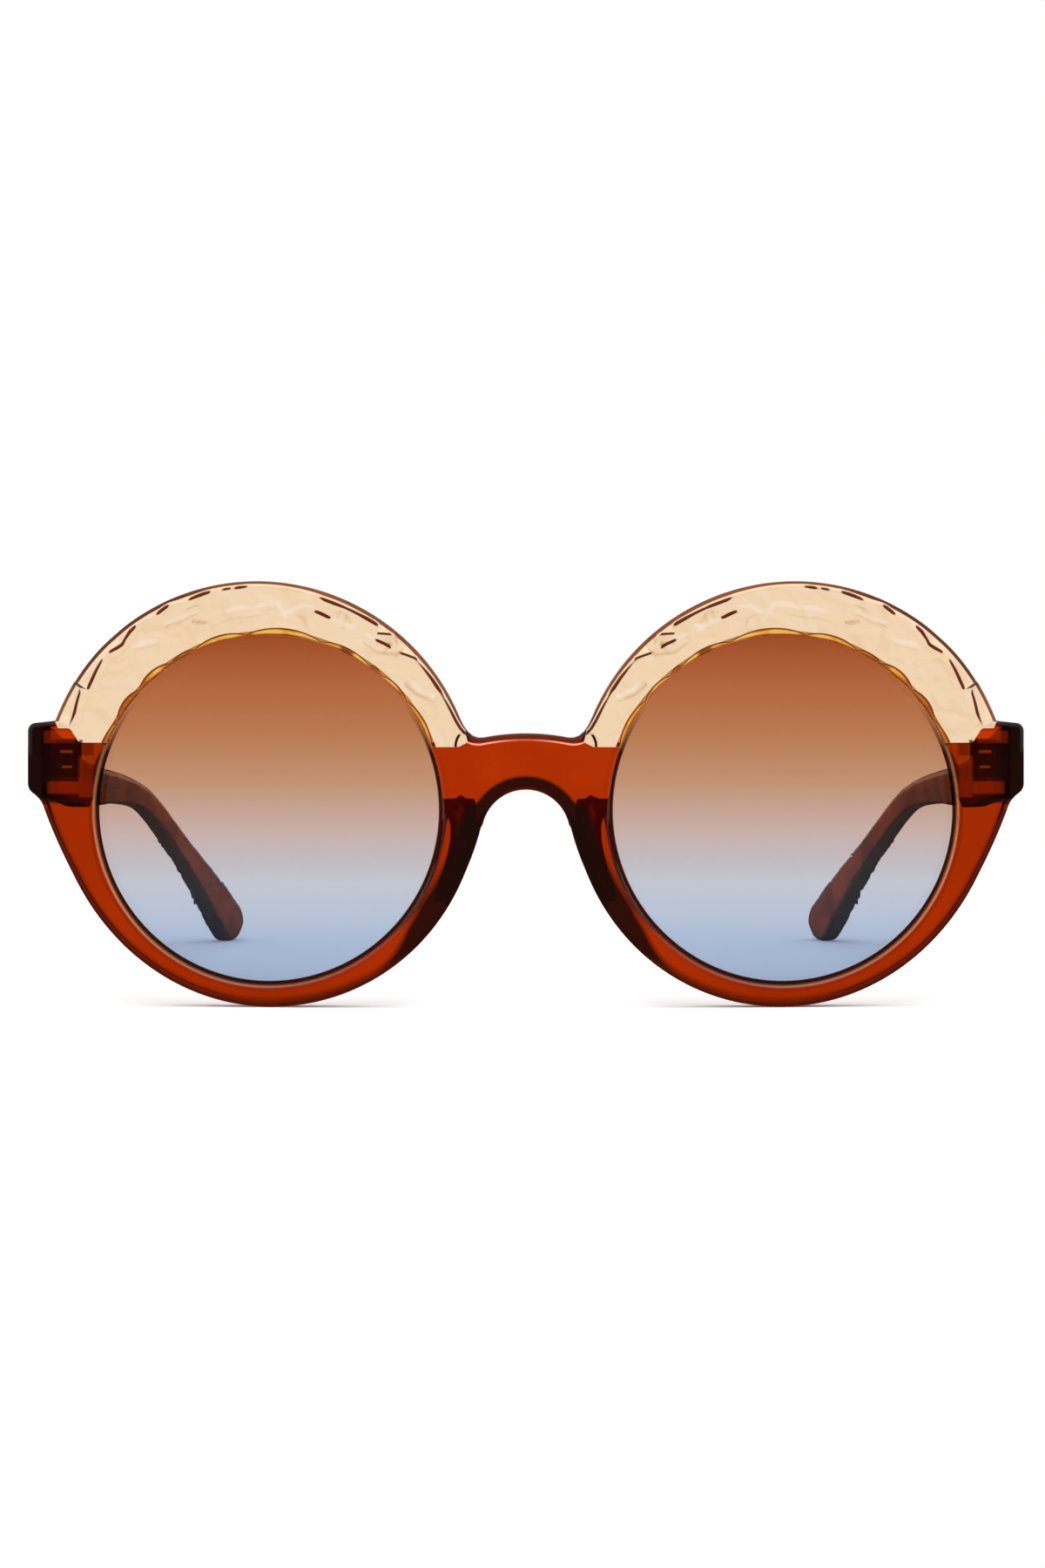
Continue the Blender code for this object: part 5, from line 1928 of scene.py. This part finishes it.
@dataclass
class Temple:
    """A temple of brown acetate that drops and turns inwards behind the ear."""

    plan: FrontPlan = PLAN
    reach: float = 138.5 * MM
    thickness: float = 3.3 * MM
    waist_half: float = 2.1 * MM
    paddle_half: float = 3.75 * MM
    waist_thickness: float = 3.1 * MM
    paddle_thickness: float = 3.3 * MM
    edge_round: float = 1.1 * MM
    taper: float = 2.7
    straight: float = 10 * MM
    tip_length: float = 44.5 * MM
    curl_radius: float = 135 * MM
    butt_gap: float = 0.15 * MM
    core_radius: float = 0.55 * MM
    core_clearance: float = 0.1 * MM
    core_inset: float = 2.0 * MM
    core_start: float = 1.5 * MM
    core_share: float = 0.93
    leaf_length: float = 8 * MM
    pocket_gap: float = 0.05 * MM
    # Shares of the reach, of the rise, of the hinge end's extra depth and of the paddle's
    stations: tuple[tuple[float, float, float, float], ...] = (
        (0.000, 1.000, 1.000, 0.00), (0.078, 0.966, 0.875, 0.00), (0.167, 0.908, 0.68, 0.00),
        (0.256, 0.861, 0.50, 0.00), (0.360, 0.837, 0.32, 0.00), (0.464, 0.821, 0.18, 0.00),
        (0.583, 0.790, 0.08, 0.00), (0.657, 0.760, 0.010, 0.00), (0.709, 0.720, 0.000, 0.00),
        (0.762, 0.644, 0.000, 0.00), (0.817, 0.535, 0.000, 0.00), (0.872, 0.405, 0.000, 0.12),
        (0.921, 0.270, 0.000, 0.42), (0.958, 0.153, 0.000, 0.76), (1.000, 0.000, 0.000, 1.00),
    )
    span_steps: int = 8
    tip_steps: int = 9
    corner_steps: int = 5
    wire_steps: int = 16
    tip_degrees: float = 88
    roundest: float = 0.98

    @property
    def middle(self) -> float:
        """X of the hinge end's mid thickness."""
        return self.plan.end_x - self.thickness / 2

    @property
    def butt(self) -> float:
        """Y where the mid thickness meets the endpiece."""
        return self.plan.thickness + self.plan.wrap_shift(self.middle) + self.butt_gap

    def smooth_rows(self) -> list[list[float]]:
        """Centre line seen from the side, as y, z and half the depth, on a smooth curve.

        Returns:
            The rows.
        """
        top = self.plan.end_top - self.plan.end_slope
        end_half = (top - self.plan.end_bottom) / 2
        end_middle = (top + self.plan.end_bottom) / 2
        rows = []
        for way, rise, root, paddle in self.stations:
            half = self.waist_half + root * (end_half - self.waist_half)
            half += paddle * (self.paddle_half - self.waist_half)
            y = self.butt + way * (self.reach - self.paddle_half)
            rows.append((y, self.paddle_half + rise * (end_middle - self.paddle_half), half))
        ends = [[2 * a - b for a, b in zip(rows[0], rows[1])], *rows]
        ends.append([2 * a - b for a, b in zip(rows[-1], rows[-2])])
        found = []
        for i in range(1, len(ends) - 2):
            for step in range(self.span_steps):
                t = step / self.span_steps
                row = []
                for a, b, c, d in zip(*ends[i - 1 : i + 3]):
                    bend = (2 * a - 5 * b + 4 * c - d) * t * t
                    twist = (-a + 3 * b - 3 * c + d) * t * t * t
                    row.append((2 * b + (c - a) * t + bend + twist) / 2)
                found.append(row)
        found.append(list(rows[-1]))
        return found

    def inset(self, y: float) -> float:
        """How far the temple has moved towards the head.

        Args:
            y: The depth.

        Returns:
            The distance.
        """
        away = math.tan(math.radians(self.taper)) * max(0, y - self.butt - self.straight)
        curl_start = self.reach - self.tip_length - self.straight
        curl = max(0, y - self.butt - curl_start)
        return away + curl * curl / (2 * self.curl_radius)

    def thickness_at(self, y: float) -> float:
        """The temple's thickness at a depth.

        Args:
            y: The depth.

        Returns:
            The thickness.
        """
        bend = self.butt + self.reach - self.tip_length
        rows = [(self.butt, self.thickness), (bend, self.waist_thickness)]
        rows.append((self.butt + self.reach, self.paddle_thickness))
        return along(rows, y)[0]

    def section(
        self, y: float, z: float, half: float, angle: float, lean: float = 0
    ) -> list[Vector]:
        """A rounded ring across the temple.

        Args:
            y: Depth of its centre.
            z: Height of its centre.
            half: Half its height.
            angle: The centre line's slope in radians.
            lean: How much less thick the ring is on each face.

        Returns:
            The ring's points, before the temple is curved.
        """
        deep = self.thickness / 2 - lean
        bend = min(self.edge_round, half * self.roundest, deep * self.roundest)
        ring = []
        for turn, (across, up) in enumerate(((1, 1), (-1, 1), (-1, -1), (1, -1))):
            centre = (across * (deep - bend), up * (half - bend))
            for w, u in arc(centre, bend, 90 * turn, 90 * turn + 90, self.corner_steps):
                up_y, up_z = -u * math.sin(angle), u * math.cos(angle)
                ring.append(Vector((self.middle + w, y + up_y, z + up_z)))
        return ring

    def sections(self) -> list[list[Vector]]:
        """All rings, from the hinge end to the tip.

        Returns:
            The rings, before the temple is curved.
        """
        rows = self.smooth_rows()
        found = []
        angle = 0.0
        for i, (y, z, half) in enumerate(rows):
            before, after = rows[max(i - 1, 0)], rows[min(i + 1, len(rows) - 1)]
            angle = math.atan2(after[1] - before[1], after[0] - before[0]) if i else 0.0
            found.append(self.section(y, z, half, angle))
        y, z, half = rows[-1]
        for i in range(1, self.tip_steps + 1):
            turn = math.radians(self.tip_degrees * i / self.tip_steps)
            way = half * math.sin(turn)
            left = half - way
            lean = 0.0
            if left < self.edge_round:
                gone = self.edge_round - left
                lean = self.edge_round - math.sqrt(self.edge_round**2 - gone**2)
            centre = (y + way * math.cos(angle), z + way * math.sin(angle))
            found.append(self.section(*centre, half * math.cos(turn), angle, lean))
        return found

    def curve(self, obj: bpy.types.Object) -> None:
        """Gives the straight temple its taper, its turn inwards and its slanted hinge end.

        Args:
            obj: The straight temple.
        """
        slope = self.middle / self.plan.wrap_radius
        for vertex in obj.data.vertices:
            y = vertex.co.y
            factor = self.thickness_at(y) / self.thickness
            across = (vertex.co.x - self.middle) * factor
            vertex.co.x = self.middle + across - self.inset(y)
            if abs(y - self.butt) < WELD:
                vertex.co.y += across * slope

    def height_at(self, y: float) -> float:
        """Height of the centre line at a depth, level past its ends."""
        return along(self.smooth_rows(), y)[0]

    def wire(self, name: str, start: float, stop: float, radius: float) -> bpy.types.Object:
        """A round wire down the middle of the temple.

        Args:
            name: The object's name.
            start: Depth where it starts.
            stop: Depth where it ends.
            radius: Its radius.

        Returns:
            The object.
        """
        x = self.plan.end_x - self.thickness + self.core_inset
        depths = [start, *(row[0] for row in self.smooth_rows() if start < row[0] < stop), stop]
        places = [Vector((x - self.inset(y), y, self.height_at(y))) for y in depths]
        rings = []
        for i, place in enumerate(places):
            way = (places[min(i + 1, len(places) - 1)] - places[max(i - 1, 0)]).normalized()
            across = way.cross(Vector((0, 0, 1))).normalized()
            up = across.cross(way)
            circle = arc((0, 0), radius, 0, 360, self.wire_steps)[:-1]
            rings.append([place + across * u + up * w for u, w in circle])
        return loft(name, rings)

    def build(self) -> bpy.types.Object:
        """Builds the right temple with its hinge pocket and its channel for the core wire.

        Returns:
            The temple.
        """
        temple = loft("temple_arm_right", self.sections())
        self.curve(temple)
        clean(temple)
        low, high = (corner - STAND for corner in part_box("temple_hinge_right"))
        gap = Vector((1, 1, 1)) * self.pocket_gap
        low.y = high.y - self.leaf_length
        size, centre = high - low + gap * 2, (low + high) / 2
        carve(temple, block("hinge_pocket", size, centre), Cut.TAKE)
        stop = self.butt + self.core_share * self.reach
        radius = self.core_radius + self.core_clearance
        channel = self.wire("core_channel", self.butt - 2 * MM, stop + self.core_clearance, radius)
        carve(temple, channel, Cut.TAKE)
        return temple

    def build_core(self) -> bpy.types.Object:
        """Builds the right core wire."""
        stop = self.butt + self.core_share * self.reach
        return self.wire("core_rod_right", self.butt + self.core_start, stop, self.core_radius)


# The set


@dataclass
class Studio:
    """The white table, the soft light and the camera."""

    floor_radius: float = 3.0
    floor_steps: int = 96
    camera_place: tuple[float, float, float] = (0.0, -0.572, 0.044)
    focal: float = 118.5
    sensor: float = 36.0
    shift: Point = (-0.0032, -0.0764)
    room_level: float = 0.7
    floor_drop: float = 0.03 * MM
    # Greys of the table through the lenses and beside them; levels of its glow, far and mirrored
    greys: Point = (0.8, 0.95)
    table_levels: Sequence[float] = (0.1, 1.0, 0.03)
    ceiling_loss: float = 0.15
    # Levels of the mirrored room: the least and what is added
    wall_levels: Point = (0.25, 0.15)
    back_levels: Point = (0.015, 0.55)
    # Places where a mask is 0 and 1, in metres or as a part of a direction
    floor_far: Fade = (0.16, 0.4)
    ceiling: Fade = (0.2, 0.55)
    front_wall: Fade = (-0.8, -0.5)
    back_wall: Fade = (0.6, 0.3)
    back_light: Fade = (0.3, 0.6)
    wall_height: Fade = (-0.2, 0.6)
    # Name, place, side of the square face and power in watts
    lamps: tuple[tuple[str, Sequence[float], float, float], ...] = (
        ("top_lamp", (0.0, -0.1, 1.2), 1.2, 9.0),
        ("front_lamp", (0.0, -1.3, 0.9), 1.2, 8.0),
    )

    def build(self) -> None:
        """Builds the whole set."""
        self.make_camera()
        self.make_floor()
        self.make_world()
        for lamp in self.lamps:
            self.make_lamp(*lamp)
        bpy.context.scene.view_settings.view_transform = "Standard"

    def make_camera(self) -> None:
        """Sets the camera at the photograph's place."""
        bpy.ops.object.camera_add(location=self.camera_place, rotation=(math.pi / 2, 0, 0))
        camera = bpy.context.object
        camera.name = "studio_camera"
        camera.data.sensor_fit = "HORIZONTAL"
        camera.data.sensor_width = self.sensor
        camera.data.lens = self.focal
        camera.data.shift_x, camera.data.shift_y = self.shift
        camera.data.clip_start = 0.01
        bpy.context.scene.camera = camera

    def make_floor(self) -> None:
        """Lays the white table."""
        place = (0, 0, -self.floor_drop)
        bpy.ops.mesh.primitive_circle_add(
            vertices=self.floor_steps, radius=self.floor_radius, fill_type="NGON", location=place
        )
        floor = bpy.context.object
        floor.name = "table"
        material, nodes = new_material("table_white")
        x, y, _ = nodes.spot
        far = steep((x * x + y * y) ** 0.5, *self.floor_far)
        paper, top = (nodes.add("BsdfDiffuse", {"Color": (grey,) * 3}) for grey in self.greys)
        glow, white, dim = (
            nodes.add("Emission", {"Color": (1, 1, 1), "Strength": level})
            for level in self.table_levels
        )
        near = nodes.add("AddShader", {0: top, 1: glow})
        through = nodes.add("AddShader", {0: paper, 1: glow})
        passing = nodes.rays("Is Transmission Ray")
        seen = nodes.rays("Is Camera Ray", "Is Transmission Ray")
        bouncing = nodes.rays("Is Glossy Ray") * (1 - passing)
        close = nodes.add("MixShader", {0: passing, 1: near, 2: through})
        shown = nodes.add("MixShader", {0: far, 1: close, 2: white})
        lit = nodes.add("MixShader", {0: seen, 1: paper, 2: shown})
        surface = nodes.add("MixShader", {0: bouncing, 1: lit, 2: dim})
        nodes.add("OutputMaterial", {"Surface": surface})
        floor.data.materials.append(material)

    def make_world(self) -> None:
        """Surrounds the set with white walls under a darker ceiling."""
        world = bpy.data.worlds.new("studio_white")
        bpy.context.scene.world = world
        world.use_nodes = True
        nodes = Nodes(world.node_tree)
        _, ahead, height = nodes.axes(nodes.add("TexCoord", out="Generated"))
        through = 1 - steep(height, *self.ceiling) * self.ceiling_loss
        beside = steep(ahead, *self.front_wall) * steep(ahead, *self.back_wall)
        least, more = self.wall_levels
        walls = beside * (steep(height, *self.wall_height) * more + least)
        least, more = self.back_levels
        mirrored_level = walls + steep(ahead, *self.back_light) * more + least
        camera, passing = nodes.rays("Is Camera Ray"), nodes.rays("Is Transmission Ray")
        bouncing = nodes.rays("Is Glossy Ray") * (1 - passing)
        plain = (1 - camera - passing - bouncing).clamped()
        level = camera + bouncing * mirrored_level + passing * through + plain * self.room_level
        sky = nodes.add("Background", {"Color": (1, 1, 1), "Strength": level})
        nodes.add("OutputWorld", {"Surface": sky})

    @staticmethod
    def make_lamp(name: str, place: Sequence[float], size: float, power: float) -> None:
        """Adds a soft lamp that faces the object.

        Args:
            name: The lamp's name.
            place: Where it is.
            size: The side of its square face.
            power: Its power in watts.
        """
        bpy.ops.object.light_add(type="AREA", location=place)
        lamp = bpy.context.object
        lamp.name = name
        lamp.data.shape = "SQUARE"
        lamp.data.size = size
        lamp.data.energy = power
        lamp.visible_glossy = False
        lamp.visible_transmission = False
        lamp.rotation_euler = (-Vector(place)).to_track_quat("-Z", "Y").to_euler()


@dataclass
class Dresser:
    """Finishes pieces, puts them on the frame and keeps count."""

    materials: dict[str, bpy.types.Material] = field(default_factory=dict)
    smooth_degrees: float = 30

    def material(self, finish: Acetate | LensTint | Metal) -> bpy.types.Material:
        """The material of a finish, made once.

        Args:
            finish: The finish.

        Returns:
            Its material.
        """
        if finish.name not in self.materials:
            self.materials[finish.name] = finish.make()
        return self.materials[finish.name]

    def dress(
        self, obj: bpy.types.Object, finish: Acetate | LensTint | Metal, body: str, *nodes: str
    ) -> None:
        """Gives a new piece its finish and sets it on the frame.

        Args:
            obj: The piece, at its place in the frame.
            finish: Its finish.
            body: The body that it rides on.
            nodes: The frame's nodes that it stands for.
        """
        pick(obj)
        bpy.ops.object.shade_smooth_by_angle(angle=math.radians(self.smooth_degrees))
        bpy.ops.object.modifier_add(type="WEIGHTED_NORMAL")
        obj.modifiers[-1].keep_sharp = True
        bpy.ops.object.modifier_apply(modifier=obj.modifiers[-1].name)
        obj.data.materials.clear()
        obj.data.materials.append(self.material(finish))
        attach(obj, body)
        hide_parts(*nodes)
        LOG.info("%s: %d faces on %s", obj.name, len(obj.data.polygons), body)

    def dress_pair(
        self, obj: bpy.types.Object, finish: Acetate | LensTint | Metal, node: str, body: str
    ) -> None:
        """Dresses a right-hand piece and its left-hand copy.

        Args:
            obj: The right-hand piece, as modelled.
            finish: The finish of both.
            node: The name of the nodes that they stand for, without its side.
            body: The body, with {side} for the side.
        """
        obj.data.transform(Matrix.Translation(STAND))
        twin = mirrored(obj, obj.name.replace("right", "left"))
        for side, piece in ((Side.RIGHT, obj), (Side.LEFT, twin)):
            self.dress(piece, finish, body.format(side=side.word), f"{node}_{side.word}")

    def redress(self, frame: dict, node: str, finish: Metal) -> None:
        """Gives a node that stays its finish.

        Args:
            frame: The loaded frame.
            node: The node's name.
            finish: The finish.
        """
        obj = frame["nodes"][node]
        obj.data.materials.clear()
        obj.data.materials.append(self.material(finish))
        LOG.info("%s keeps its shape", node)


def main() -> None:
    """Builds the sunglasses and the set."""
    logging.basicConfig(level=logging.INFO, format="%(name)s: %(message)s")
    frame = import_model()
    Studio().build()
    dresser = Dresser()

    brows = Brows()
    brow = brows.build()
    sheet = FrontSheet().build()
    brows.take_from(sheet)
    PLAN.wrap(sheet)
    sheet.name = "acetate_front"
    sheet.data.transform(Matrix.Translation(STAND))
    dresser.dress(sheet, BROWN_FRONT, "front", "front_frame")
    dresser.dress_pair(brow, CHAMPAGNE, "brow", "front")
    dresser.dress_pair(Lens().build(), LensTint(), "lens", "front")
    dresser.dress_pair(NosePad().build(), BROWN, "nose_pad", "front")

    temple = Temple()
    dresser.dress_pair(temple.build(), BROWN_TEMPLE, "temple", "{side}_temple")
    dresser.dress_pair(temple.build_core(), CORE_METAL, "core_wire", "{side}_temple")
    for side in Side:
        dresser.redress(frame, f"front_hinge_{side.word}", HINGE_METAL)
        dresser.redress(frame, f"temple_hinge_{side.word}", HINGE_METAL)
        dresser.redress(frame, f"hinge_screw_{side.word}", SCREW_STEEL)

    bpy.context.view_layer.update()


if __name__ == "__main__":
    main()
